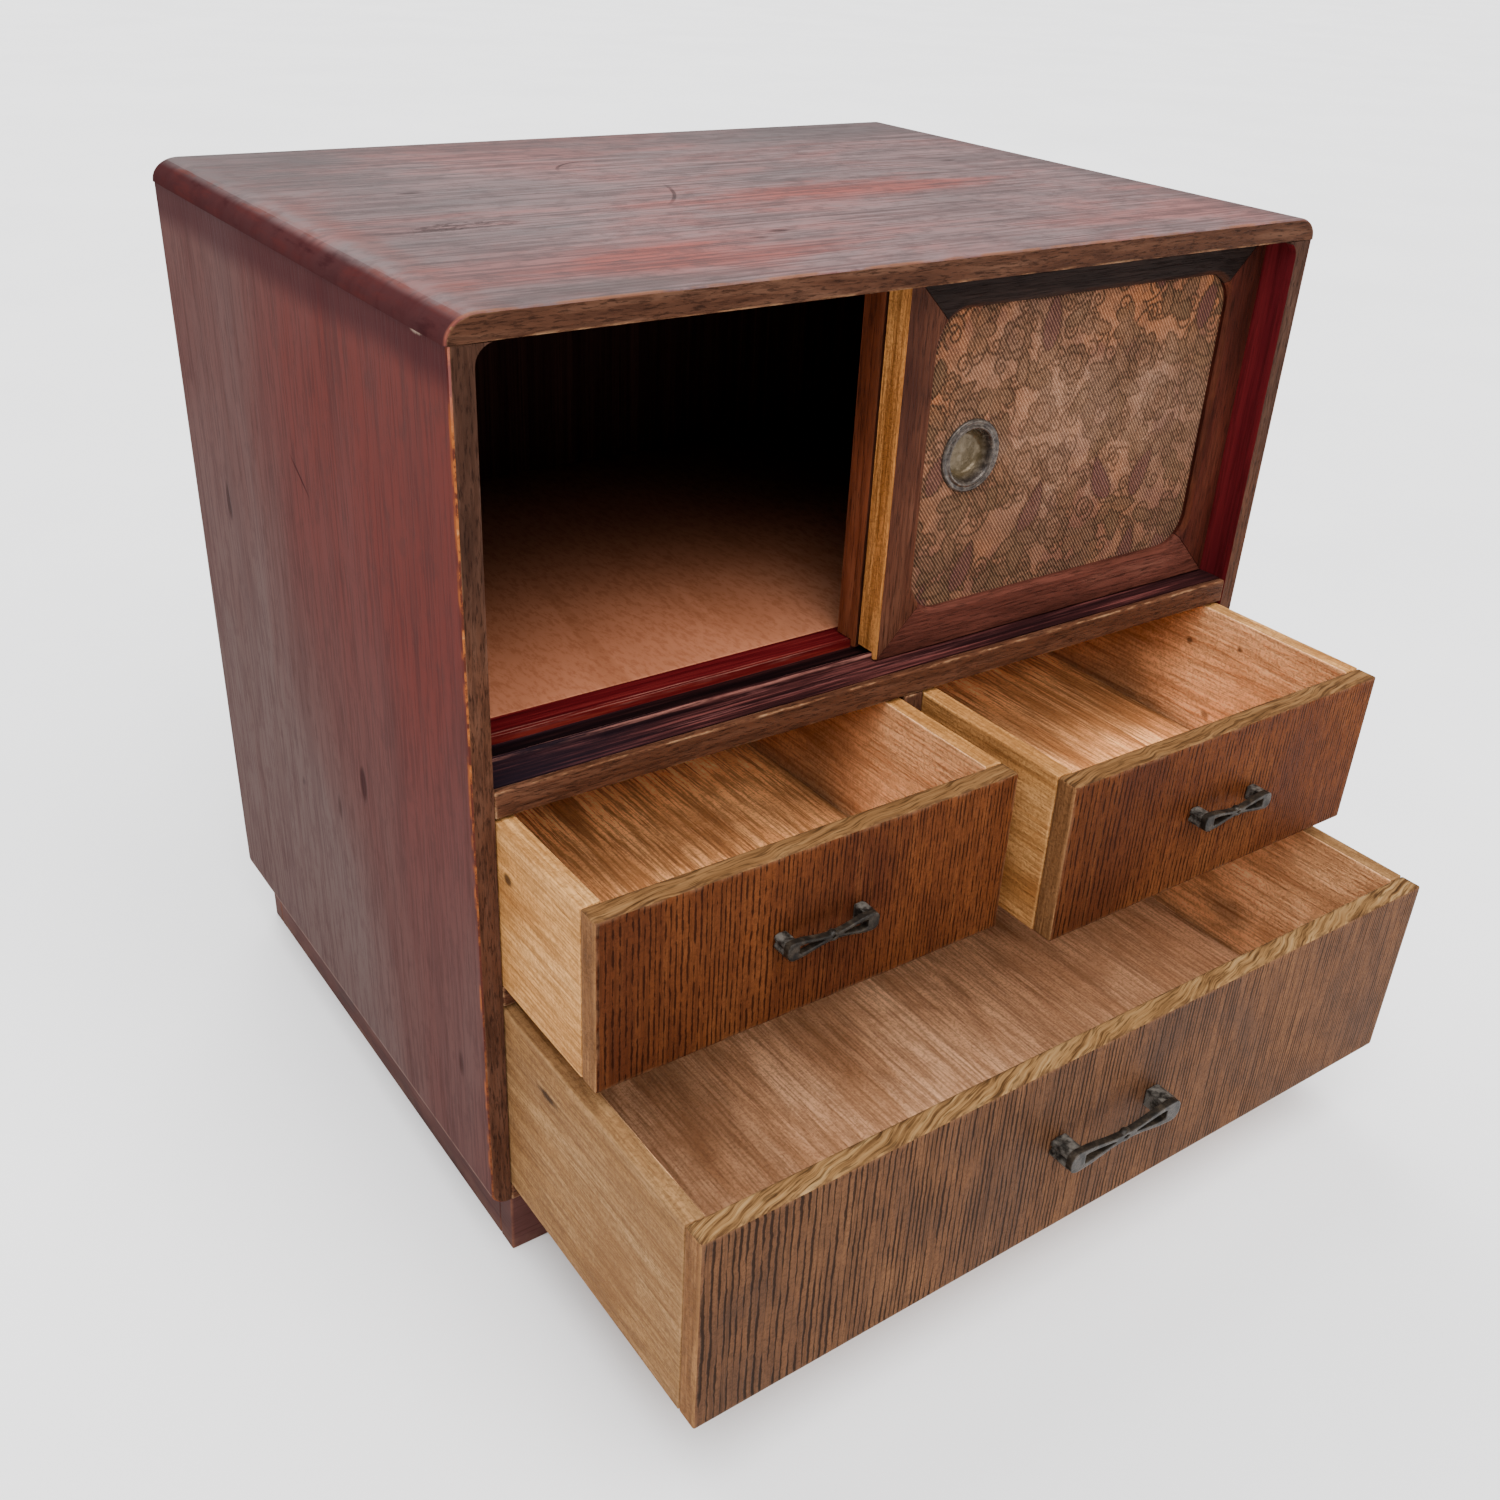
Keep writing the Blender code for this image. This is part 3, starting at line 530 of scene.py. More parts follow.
def oak_veneer(name, tones, face, pitch, closing, dash, widths, shift, handles):
    """Drawer faces: stained oak with columns of dark pores that close up towards the right end of a face."""
    look = Look(name, 1.8)
    dark, mid, light, pit = tones
    u = (look.x + INNER_X) % face
    drift = look.noise((14, 3, 0.3), shift, detail=2)
    sway = look.noise((30, 3, 40), shift)
    jag = look.noise((60, 3, 260), shift, detail=3)
    rows = (u * (u * closing + 1.0) + drift * 0.03) / pitch + sway * 0.5 + jag * 0.4
    column = rows.floor()
    dashes = look.fractal(look.join(column * 7.31, shift[0], look.z / dash), detail=3, rough=0.6)
    pore = (abs(rows.fract() - 0.5) - dashes.step(0.34, 0.62, *widths)).step(0.07, -0.05)
    hair = look.streaks(UPRIGHT, 1000, 0.4 / dash, 0.50, 0.64, shift)
    speck = look.noise(700, shift, detail=3, rough=0.7).step(0.46, 0.62)
    patch = look.noise((11, 5, 6), shift, detail=5, rough=0.6, twist=0.7)
    strip = look.fractal(look.join(column * 3.77, shift[1], look.z * 9.0), detail=2)
    look.base(look.ramp(patch, (0.32, 0.52, 0.70), (dark, mid, light)))
    look.over(strip.step(0.52, 0.66), 0.3, light)
    look.over(strip.step(0.48, 0.34), 0.3, dark)
    look.over(look.streaks(UPRIGHT, 240, 16, 0.42, 0.62, shift), 0.35, dark)
    look.over(look.noise((75, 20, 55), shift, detail=5, rough=0.7).step(0.44, 0.62), 0.3, dark)
    look.over(hair | speck, 0.32, pit)
    look.over(pore, 0.85, pit)
    look.over(u.step(0.6 * face, 0.0), 0.2, pit)
    rub = look.noise(90, shift, rough=0.7)
    for low, high in handles:
        centre = (low + high) / 2
        reach = (0.6 * (high.x - low.x), 0.017)
        look.over(look.spot(look.x, look.z, (centre.x, centre.z + 0.004), reach, rub), 0.2, (60, 28, 15))
    look.worn(rub.step(0.40, 0.64), 0.7, (156, 112, 80))
    return look.finish(patch.spread(0.5, 0.64), (pore | hair * 0.5) * -1, 0.0003, 0.8)


def oak_edge(name, tones, slope, shift):
    """Top edges of the drawer fronts: golden oak, its grain slanting across like the lay of a rope."""
    look = Look(name, 2.6)
    bright, mid, dark = tones
    slant = look.y + look.x * slope + look.noise((18, 10, 10), shift, detail=3) * 0.02
    streak = look.fractal(look.join(look.x * 20.0, slant * 420.0, 0.0), detail=5, rough=0.7)
    pore = look.fractal(look.join(look.x * 90.0, slant * 1000.0, 2.0), detail=3)
    look.base(look.ramp(streak, (0.40, 0.50, 0.62), (dark, mid, bright)))
    look.over(look.noise((24, 60, 60), shift).step(0.46, 0.62), 0.45, mid)
    look.over(pore.step(0.52, 0.64), 0.6, (70, 46, 26))
    look.worn(look.noise(120, shift, rough=0.7).step(0.40, 0.62), 0.65, (104, 72, 52))
    return look.finish(streak.spread(0.56, 0.7), (streak + pore) * -1, 0.0003, 0.8, 0.04)


def aged_metal(name, light, tones, cast, rough, metal, gloss):
    """Old metal: patina in patches of a given count to the metre, rubbed bright on what stands out, with a
    painted sheen on the handle posts.
    """
    look = Look(name, light)
    dark, mid, bright = tones
    patina = look.noise(cast, (3, 1, 2), detail=5, rough=0.65)
    pit = look.noise(900, detail=3, rough=0.6)
    look.base(look.ramp(patina, (0.38, 0.50, 0.64), (dark, mid, bright)))
    look.over(pit.step(0.54, 0.68), 0.5, dark)
    look.over(look.stored("deep"), 0.5, (128, 107, 68))
    look.over(Level(look, look.add("NewGeometry").outputs["Pointiness"]).step(0.51, 0.62), 0.35, bright)
    # Painted sheen on the handle posts, broken by the patina.
    look.over(look.stored("post") * patina.step(0.36, 0.66), 0.6, (150, 144, 136))
    return look.finish(patina.spread(*rough), patina + pit, 0.0003, 0.4, gloss, metal)


def brocade_cloth():
    """Door panels: twill brocade, gold ground with olive drawing and maroon leaves."""
    look = Look("brocade_cloth", 1.25)
    x, z = look.x, look.z
    twill = ((x * TWILL_X + z * TWILL_Z) * (math.tau / TWILL_PITCH)).sine()
    thread = ((x * TWILL_Z - z * TWILL_X) * (math.tau / (TWILL_PITCH * 0.7))).sine()
    fade = look.noise(13, (4, 4, 1), rough=0.6)
    blot = look.noise(48, (2, 7, 4), detail=5, rough=0.7)
    soil = (0.36 - z) * 4.0 + fade * 0.9
    look.base(look.ramp(fade, (0.36, 0.50, 0.64), ((196, 122, 78), (186, 126, 92), (172, 130, 106))))
    look.over(soil.step(0.35, 0.95), 0.6, (134, 92, 72))
    look.over(blot.step(0.46, 0.60), 0.55, (116, 84, 66))
    look.over(look.noise(30, (8, 1, 3), rough=0.6).step(0.50, 0.62), 0.5, (112, 72, 70))
    heart = look.spot(x, z, (PANEL_MIDDLE.x + 0.008, PANEL_MIDDLE.z + 0.008), (0.065, 0.045), blot)
    look.over(heart, 0.4, (206, 168, 140))
    faded = 1.0 - heart * 0.4
    look.over(look.stored("olive") * faded * fade.step(0.7, 0.35, 0.5, 0.9), 1.0, (102, 82, 60))
    look.over(look.stored("maroon") * fade.step(0.8, 0.3, 0.5, 0.9), 1.0, (96, 55, 62))
    look.over(look.stored("ink") * faded * fade.step(0.8, 0.3, 0.65, 1.0), 0.95, (52, 42, 32))
    look.over(twill.step(0.5, -0.8), 0.48, (60, 38, 28))
    look.over(twill.step(0.3, 0.9), 0.2, (234, 178, 134))
    look.over(look.noise(900, detail=3, rough=0.7).step(0.46, 0.62), 0.4, (78, 52, 38))
    return look.finish(0.85, twill + thread * 0.5, 0.00035, 0.8)


def plain_floor():
    """Pale studio floor with the faintest mottling."""
    look = Look("plain_floor", 1 / EXPOSURE)
    cloud = look.noise(2.2, detail=5, rough=0.6)
    look.base(look.ramp(cloud, (0.3, 0.7), ((240, 240, 241), (247, 247, 248))))
    return look.finish(0.8, gloss=0.1)


def corner_shade(drawer, left, right):
    """Painted shade on a drawer's base along its two side walls: reach and strength for the left and the
    right.
    """
    inner_left, inner_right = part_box(drawer + "_left_side")[1].x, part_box(drawer + "_right_side")[0].x
    return ((ACROSS, inner_left, *left), (ACROSS, inner_right, *right))


def wall_shade(drawer, reach, strength):
    """Painted shade on a drawer's walls along its base."""
    return (UPRIGHT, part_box(drawer + "_bottom")[1].z, reach, strength)


# Display colours, dark to bright for stain and metal, bright to dark for bare wood and drawer edges
BAND_LEVEL = ((86, 54, 39), (104, 67, 49), (124, 86, 66))
BAND_UPRIGHT = ((76, 50, 38), (94, 63, 49), (112, 80, 65))
FRAME_BROWN = ((66, 34, 24), (98, 58, 42), (120, 78, 58))
FRAME_RED = ((56, 24, 17), (84, 38, 28), (108, 58, 42))
# Head rail: the frames' dark stain with painted shade under the top board.
FRAME_HEAD_SHADED = ((28, 20, 18), (48, 36, 32), (68, 52, 46))
FRAME_DARK = ((74, 38, 30), (112, 62, 50), (142, 90, 74))
FRAME_EDGE = ((98, 48, 28), (146, 76, 48), (176, 104, 70))
DOOR_EDGE = ((218, 152, 84), (186, 120, 62), (140, 84, 38), (96, 54, 22))
BOX_OUTSIDE = ((234, 176, 112), (212, 152, 88), (172, 114, 60), (126, 80, 40))
BOX_INSIDE = ((214, 166, 121), (188, 140, 98), (148, 104, 69), (104, 68, 43))
BOX_LARGE = ((228, 178, 124), (206, 154, 100), (166, 116, 72), (122, 82, 50))
BASE_SMALL = ((218, 160, 106), (184, 126, 78), (128, 82, 46), (80, 48, 26))
BASE_LARGE = ((194, 150, 114), (168, 124, 90), (126, 88, 60), (84, 56, 37))
FRONT_END = ((198, 146, 98), (174, 122, 78), (138, 90, 54), (92, 56, 32))
SMALL_OAK = ((106, 55, 32), (142, 79, 41), (162, 97, 55), (46, 20, 10))
LARGE_OAK = ((110, 76, 55), (150, 102, 69), (168, 118, 81), (36, 22, 14))
SMALL_EDGE = ((216, 162, 106), (184, 132, 82), (120, 82, 48))
LARGE_EDGE = ((242, 194, 132), (206, 154, 98), (124, 86, 51))
BRONZE = ((34, 30, 26), (52, 45, 38), (80, 70, 59))
PEWTER = ((48, 40, 35), (78, 67, 60), (114, 103, 92))

# Marks and painted shade of the drawer boxes, in metres
PEG = (((-0.0877, 0.2222), (0.0036, 0.0030), -1.0, 0.85),)
SLOT = (((-0.1175, 0.1292), (0.0110, 0.0024), -1.0, 0.85),)
INNER_MARKS = (
    ((-0.0719, 0.2217), (0.0026, 0.0022), 0.1, 0.8),
    ((-0.1048, 0.2295), (0.0024, 0.0020), 0.1, 0.8),
    ((-0.0921, 0.1838), (0.0030, 0.0022), 0.1, 0.7),
    # A broad dark patch on the lower drawer's right inner wall.
    ((-0.1350, 0.0750), (0.0220, 0.0140), 0.1, 0.6),
)
# Painted shade: darker deep inside the small drawers and along their side walls.
SMALL_BASE_SHADE = (
    (DEEP, -0.035, 0.07, 0.6),
    *corner_shade("left_drawer", (0.026, 0.5), (0.008, 0.5)),
    *corner_shade("right_drawer", (0.016, 0.2), (0.007, 0.5)),
)
LARGE_BASE_SHADE = corner_shade("lower_drawer", (0.16, 0.42), (0.008, 0.45))
DRAWER_WALL_SHADE = (
    wall_shade("left_drawer", 0.012, 0.35),
    wall_shade("lower_drawer", 0.010, 0.3),
    (DEEP, -0.030, 0.055, 0.5),
)

LOOKS = {
    "top": lacquer_top("lacquer_top", 0.03),
    "top_round": lacquer_top("lacquer_top_round", 0.0),
    "side": lacquer_side(),
    "soffit": lacquer_inner("lacquer_soffit", ACROSS, (46, 18, 17), (66, 26, 23)),
    "inner_side": lacquer_inner("lacquer_inner_side", UPRIGHT, (100, 28, 34), (128, 38, 43)),
    "inner_board": lacquer_inner("lacquer_inner_board", ACROSS, (58, 38, 29), (86, 58, 42)),
    "band_x": band_wood("band_wood_level", ACROSS, BAND_LEVEL),
    "band_z": band_wood("band_wood_upright", UPRIGHT, BAND_UPRIGHT),
    "arris": rubbed_arris(),
    "sill": sill_wood(),
    "ply": ply_wood(),
    "back": back_wood(),
    "plinth": plinth_wood(),
    "frame_left": frame_wood("frame_wood_left", UPRIGHT, FRAME_BROWN),
    "frame_right": frame_wood("frame_wood_right", UPRIGHT, FRAME_RED),
    "frame_head": frame_wood("frame_wood_head_shaded", ACROSS, FRAME_HEAD_SHADED),
    "frame_foot": frame_wood("frame_wood_foot", ACROSS, FRAME_DARK, 0.05),
    "stained_edge": frame_wood("frame_wood_edge", UPRIGHT, FRAME_EDGE),
    "raw_edge": raw_wood("raw_wood_edge", UPRIGHT, 0.74, DOOR_EDGE, 0.75),
    "box_small": raw_wood("drawer_wood_small", DEEP, 1.0, BOX_OUTSIDE, 0.7, PEG),
    "box_large": raw_wood("drawer_wood_large", DEEP, 1.75, BOX_LARGE, 0.6, SLOT),
    "box_inner": raw_wood("drawer_wood_inner", DEEP, 0.41, BOX_INSIDE, 0.65, INNER_MARKS, DRAWER_WALL_SHADE),
    "box_back": raw_wood("drawer_wood_back", ACROSS, 0.5, BOX_INSIDE, 0.6),
    "base_small": raw_wood("drawer_base_small", DEEP, 0.27, BASE_SMALL, 0.95, painted_shade=SMALL_BASE_SHADE),
    "base_large": raw_wood("drawer_base_large", DEEP, 0.5, BASE_LARGE, 0.65, painted_shade=LARGE_BASE_SHADE),
    "oak_end": raw_wood("stained_oak_end", UPRIGHT, 1.6, FRONT_END, 0.5),
    "veneer_small": oak_veneer(
        "oak_veneer_small", SMALL_OAK, INNER_X,
        0.0031, 1.6, 0.010, (-0.05, 0.18), (3, 1, 5), HANDLES[:2],
    ),
    "veneer_large": oak_veneer(
        "oak_veneer_large", LARGE_OAK, 2 * INNER_X,
        0.0036, 1.3, 0.040, (-0.03, 0.21), (9, 2, 1), HANDLES[2:],
    ),
    "edge_small": oak_edge("oak_edge_small", SMALL_EDGE, -0.12, (1, 1, 1)),
    "edge_large": oak_edge("oak_edge_large", LARGE_EDGE, -0.32, (6, 3, 2)),
    "bronze": aged_metal("dark_bronze_cast", 1.8, BRONZE, 240, (0.44, 0.26), 0.1, 0.15),
    "pewter": aged_metal("aged_pewter_turned", 1.35, PEWTER, 420, (0.32, 0.16), 0.35, 0.3),
    "brocade": brocade_cloth(),
    "floor": plain_floor(),
}


def link(name, data):
    """An object in the scene."""
    made = bpy.data.objects.new(name, data)
    bpy.context.scene.collection.objects.link(made)
    return made


def mesh_of(work, name):
    """Turn a working mesh into a mesh for good."""
    mesh = bpy.data.meshes.new(name)
    work.to_mesh(mesh)
    work.free()
    return mesh


def store(mesh, key, numbers):
    """Keep a value on each of a mesh's points."""
    attribute = mesh.attributes.new(key, "FLOAT", "POINT")
    attribute.data.foreach_set("value", np.asarray(numbers, dtype=np.float32))


def dress(name, mesh, node, body, slot, looks, pick=None, angle=SHARP_ANGLE):
    """Give a mesh its materials and shading; it rides on a body and stands for a node. The slot is not used.
    """
    mesh.materials.clear()
    for look in looks:
        mesh.materials.append(LOOKS[look])
    if pick is not None:
        for face in mesh.polygons:
            face.material_index = pick(face.normal, face.center)
    mesh.polygons.foreach_set("use_smooth", [True] * len(mesh.polygons))
    mesh.set_sharp_from_angle(angle=math.radians(angle))
    piece = link(name, mesh)
    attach(piece, body)
    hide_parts(node)
    return piece


def make_piece(name, verts, faces, values, node, *settings, **options):
    """Turn points and faces, with values for the points, into a dressed piece."""
    mesh = bpy.data.meshes.new(name)
    mesh.from_pydata([tuple(point) for point in verts], [], faces)
    for key, numbers in values.items():
        store(mesh, key, numbers)
    work = bmesh.new()
    work.from_mesh(mesh)
    bmesh.ops.recalc_face_normals(work, faces=work.faces)
    work.to_mesh(mesh)
    work.free()
    return dress(name, mesh, node, *settings, **options)


def ticks(low, high, ease, strip, cell):
    """Grid lines along one side of a board: close together at the arrises, even between."""
    start, end = low + ease, high - ease
    strip = min(strip, (end - start) / 3)
    count = max(1, round((end - start - 2 * strip) / cell))
    even = np.linspace(start + strip, end - strip, count + 1)
    return [low, low + 0.4 * ease, start, *even, end, high - 0.4 * ease, high]


def bite(point, wander):
    """How deeply an arris is worn at a point."""
    coarse, fine = (max(0.0, noise.noise(Vector(point * scale + wander))) for scale in (34, 150))
    return coarse + 0.4 * fine


def board_mesh(low, high, ease, strip, cell, chip, wander):
    """Points, faces and wear of a board with rounded, slightly uneven arrises."""
    low, high = np.array(low), np.array(high)
    lines = [ticks(low[axis], high[axis], ease, strip, cell) for axis in range(3)]
    verts, wear, faces, known = [], [], [], {}

    def corner(key):
        if key not in known:
            point = np.array([lines[axis][key[axis]] for axis in range(3)])
            inner = np.clip(point, low + ease, high - ease)
            out = (point - inner) / np.linalg.norm(point - inner)
            on_arris = (np.abs(point - inner) > 1e-9).sum() > 1
            beside = any(key[axis] in (2, len(lines[axis]) - 3) for axis in range(3))
            known[key] = len(verts)
            verts.append(inner + out * ease - out * chip * bite(point, wander) * on_arris)
            wear.append(1.0 if on_arris else 0.6 if beside else 0.0)
        return known[key]

    for axis in range(3):
        second, third = (axis + 1) % 3, (axis + 2) % 3
        for end in (0, len(lines[axis]) - 1):
            for i in range(len(lines[second]) - 1):
                for j in range(len(lines[third]) - 1):
                    face = []
                    for p, q in ((i, j), (i + 1, j), (i + 1, j + 1), (i, j + 1)):
                        key = [0, 0, 0]
                        key[axis], key[second], key[third] = end, p, q
                        face.append(corner(tuple(key)))
                    faces.append(face)
    return verts, faces, wear


def add_board(node, body, slot, looks, pick=None, ease=0.0007, strip=0.0008, cell=CELL, chip=0.0003):
    """Replace a box-shaped node with a board that has eased and worn arrises."""
    low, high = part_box(node)
    wander = np.array([len(node) * 1.7, low.x * 31, low.z * 17])
    verts, faces, wear = board_mesh(low, high, ease, strip, cell, chip, wander)
    return make_piece(node + "_worn", verts, faces, {"wear": wear}, node, body, slot, looks, pick)


def arc(centre_x, centre_z, radius, start, end, steps, tall=None):
    """Points along an arc or an upright ellipse, angles in degrees."""
    turns = np.radians(np.linspace(start, end, steps + 1))
    return [(centre_x + radius * math.cos(a), centre_z + (tall or radius) * math.sin(a)) for a in turns]


def profile(points, plain, cell):
    """Round an outline's sharp corners and split its sides, but not along plain edges that meet a neighbour.

    Gives the points, how worn each one is, and which edges are eased at the ends of the piece.
    """
    points = [np.array(point) for point in points]
    count = len(points)
    made = []
    for i, here in enumerate(points):
        into, out = here - points[i - 1], points[(i + 1) % count] - here
        reach_in, reach_out = np.linalg.norm(into), np.linalg.norm(out)
        into, out = into / reach_in, out / reach_out
        edge, edge_before = i not in plain, (i - 1) % count not in plain
        if into @ out >= 0.85 or not edge or not edge_before:
            made.append((here, 0.0, edge))
            continue
        back, fore = min(ARRIS, reach_in * BEND), min(ARRIS, reach_out * BEND)
        if reach_in > 3 * (ARRIS + STRIP):
            made.append((here - into * (back + STRIP), 0.0, True))
        made.append((here - into * back, 0.6, True))
        made.append((here - into * back * BEND + out * fore * BEND, 1.0, True))
        made.append((here + out * fore, 0.6, True))
        if reach_out > 3 * (ARRIS + STRIP):
            made.append((here + out * (fore + STRIP), 0.0, True))
    outline, wear, soft = [], [], []
    for i, (here, amount, edge) in enumerate(made):
        after = made[(i + 1) % len(made)][0]
        steps = max(1, round(np.linalg.norm(after - here) / cell))
        for step in range(steps):
            outline.append(here + (after - here) * step / steps)
            wear.append(amount if step == 0 else 0.0)
            soft.append(float(edge))
    return np.array(outline), np.array(wear), np.array(soft)


def inset(outline, soft, amount):
    """Move an anticlockwise outline's eased edges inwards."""
    into = outline - np.roll(outline, 1, 0)
    out = np.roll(outline, -1, 0) - outline
    into /= np.linalg.norm(into, axis=1)[:, None]
    out /= np.linalg.norm(out, axis=1)[:, None]
    first = np.stack([-into[:, 1], into[:, 0]], 1)
    second = np.stack([-out[:, 1], out[:, 0]], 1)
    near, far = amount * np.roll(soft, 1), amount * soft
    turn = first[:, 0] * second[:, 1] - first[:, 1] * second[:, 0]
    sharp = np.abs(turn) > 0.3
    safe = np.where(sharp, turn, 1.0)
    corner = np.stack([
        (near * second[:, 1] - far * first[:, 1]) / safe,
        (far * first[:, 0] - near * second[:, 0]) / safe,
    ], 1)
    between = (first + second) / np.maximum(1 + (first * second).sum(1), 0.5)[:, None]
    smooth = between * ((near + far) / 2)[:, None]
    return outline + np.where(sharp[:, None], corner, smooth)


def bridge(near, far):
    """Four-sided faces between two closed rings of points."""
    pairs = list(zip(near, far))
    return [(a, c, d, b) for (a, b), (c, d) in zip(pairs, pairs[1:] + pairs[:1])]


def ring_ranges(total, count):
    """Numbers of the points in each ring."""
    return [range(start, start + count) for start in range(0, total, count)]


def loft(rings, place):
    """Points, faces and wear of a closed solid through rings of (position, outline, wear)."""
    verts, wear, faces = [], [], []
    count = len(rings[0][1])
    for position, outline, amount in rings:
        verts += [place(u, v, position) for u, v in outline]
        wear += list(np.broadcast_to(amount, count))
    numbers = ring_ranges(len(verts), count)
    for near, far in zip(numbers, numbers[1:]):
        faces += bridge(near, far)
    faces += [tuple(numbers[0])[::-1], tuple(numbers[-1])]
    return verts, faces, wear


def eased_end(outline, wear, soft, end, ease, inward):
    """Rings that round off one end of a length, from its end face inwards; none for an end left plain."""
    if not ease:
        return []
    return [
        (end, inset(outline, soft, ease + STRIP), 0.0),
        (end, inset(outline, soft, ease), 0.6 * soft),
        (end + inward * BEND * ease, inset(outline, soft, BEND * ease), soft),
        (end + inward * ease, outline, np.maximum(wear, 0.6 * soft)),
    ]


def prism_rings(outline, wear, soft, span, eases, cell):
    """Rings for a straight length of an outline, its two ends eased by two amounts."""
    start, end = span
    ease, rear = eases
    low = start + ease + (STRIP if ease else 0.0)
    high = end - rear - (STRIP if rear else 0.0)
    count = max(1, round((high - low) / cell))
    rings = eased_end(outline, wear, soft, start, ease, 1)
    rings += [(float(position), outline, wear) for position in np.linspace(low, high, count + 1)]
    return rings + eased_end(outline, wear, soft, end, rear, -1)[::-1]


def along_y(u, v, position):
    """Front outlines run back along Y."""
    return (u, position, v)


def along_x(u, v, position):
    """Side profiles run across along X."""
    return (position, u, v)


def add_prism(node, points, plain, span, slot, looks, place=along_y, pick=None, eases=(0.0, 0.0), cell=CELL):
    """Replace a node of the carcass with a straight length of an outline."""
    outline, wear, soft = profile(points, plain, cell)
    verts, faces, worn = loft(prism_rings(outline, wear, soft, span, eases, cell), place)
    return make_piece(node + "_worn", verts, faces, {"wear": worn}, node, "carcass", slot, looks, pick)


def baked(piece, **options):
    """A piece's mesh with its modifiers applied."""
    graph = bpy.context.evaluated_depsgraph_get()
    return bpy.data.meshes.new_from_object(piece.evaluated_get(graph), depsgraph=graph, **options)


def cut(piece, low, high):
    """Cut a box-shaped hollow from a piece for good."""
    work = bmesh.new()
    low, high = Vector(low), Vector(high)
    matrix = Matrix.Translation((low + high) / 2) @ Matrix.Diagonal((*(high - low), 1.0))
    bmesh.ops.create_cube(work, size=1.0, matrix=matrix)
    cutter = link("cutter", mesh_of(work, "cutter"))
    boolean = piece.modifiers.new("cut", "BOOLEAN")
    boolean.solver = "EXACT"
    boolean.object = cutter
    hollowed = baked(piece, preserve_all_data_layers=True)
    piece.modifiers.clear()
    piece.data = hollowed
    bpy.data.objects.remove(cutter)
    piece.data.set_sharp_from_angle(angle=math.radians(SHARP_ANGLE))


def facing(sign):
    """Pick the second look for faces turned to the right, or to the left with -1."""

    def pick(normal, centre):
        return 1 if normal.x * sign > 0.6 else 0

    return pick


def build_top():
    """Top board with rounded ends and two door grooves, and the band along its front edge."""
    low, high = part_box("top_board")
    half, tall = high.x, high.z - low.z - TOP_EDGE_FLAT
    open_x = INNER_X - CORNER_FILLET
    outline = [(-half, low.z), (-open_x, low.z), (open_x, low.z), (half, low.z)]
    outline += arc(half - TOP_ROUND, high.z - tall, TOP_ROUND, 0, 90, 14, tall)
    outline += arc(TOP_ROUND - half, high.z - tall, TOP_ROUND, 90, 180, 14, tall)
    seams = {0, 2}

    def board_look(normal, centre):
        return 1 if normal.z < -0.5 else 2 if abs(normal.x) > 0.3 else 0

    def band_look(normal, centre):
        return 2 if abs(normal.x) > 0.3 else 1 if normal.z > 0.3 else 0

    top = add_prism(
        "top_board", outline, seams, (low.y, high.y), "red_lacquer", ("top", "soffit", "top_round"),
        pick=board_look, eases=(0.0, ARRIS), cell=WIDE_CELL,
    )
    for door in DOORS:
        near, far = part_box(door + "_left_stile")
        start = (-INNER_X, near.y - GROOVE_CLEAR, low.z - GROOVE_DEPTH)
        cut(top, start, (INNER_X, far.y + GROOVE_CLEAR, low.z + GROOVE_DEPTH))
    add_prism(
        "top_band", outline, seams, band_span(), "brown_band", ("band_x", "top", "top_round"),
        pick=band_look, eases=(0.0009, 0.0),
    )


def band_span():
    """Where the bands start and end in Y: almost up to the boards behind them."""
    low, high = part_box("top_band")
    return (low.y, high.y + 0.8 * GAP)


def mirrored(outline, seams):
    """An outline and its plain edges on the other side, still anticlockwise."""
    count = len(outline)
    return [(-u, v) for u, v in reversed(outline)], {(count - 2 - edge) % count for edge in seams}


def build_side(side, sign):
    """Side board with a rounded foot, and the band on its front edge with a fillet under the top."""
    near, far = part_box(side + "_side")
    outer = max(abs(near.x), abs(far.x))
    foot_round = outer - INNER_X - SIDE_FOOT_FLAT
    head = SOFFIT_Z - 0.2 * GAP
    foot = [(INNER_X, near.z), *arc(outer - foot_round, near.z + foot_round, foot_round, 270, 360, 10)]
    plain = [*foot, (outer, head), (INNER_X, head)]
    fillet = arc(INNER_X - CORNER_FILLET, head - CORNER_FILLET, CORNER_FILLET, 80, 0, 10)
    banded = [*foot, (outer, head), *fillet]
    plain_seams, band_seams = set(range(len(plain) - 3, len(plain))), set(range(len(foot), len(banded)))
    if sign < 0:
        plain, plain_seams = mirrored(plain, plain_seams)
        banded, band_seams = mirrored(banded, band_seams)

    def band_look(normal, centre):
        outward = normal.x * sign
        if outward > 0.2 and outward <= 0.9 and normal.y < -0.2:
            return 3
        return 1 if outward > 0.9 else 2 if outward < -0.6 else 0

    add_prism(
        side + "_side", plain, plain_seams, (near.y, far.y), "red_lacquer", ("side", "inner_side"),
        pick=facing(-sign), eases=(0.0, ARRIS), cell=WIDE_CELL,
    )
    add_prism(
        side + "_band", banded, band_seams, band_span(), "brown_band",
        ("band_z", "side", "inner_side", "arris"), pick=band_look, eases=(0.0011, 0.0),
    )


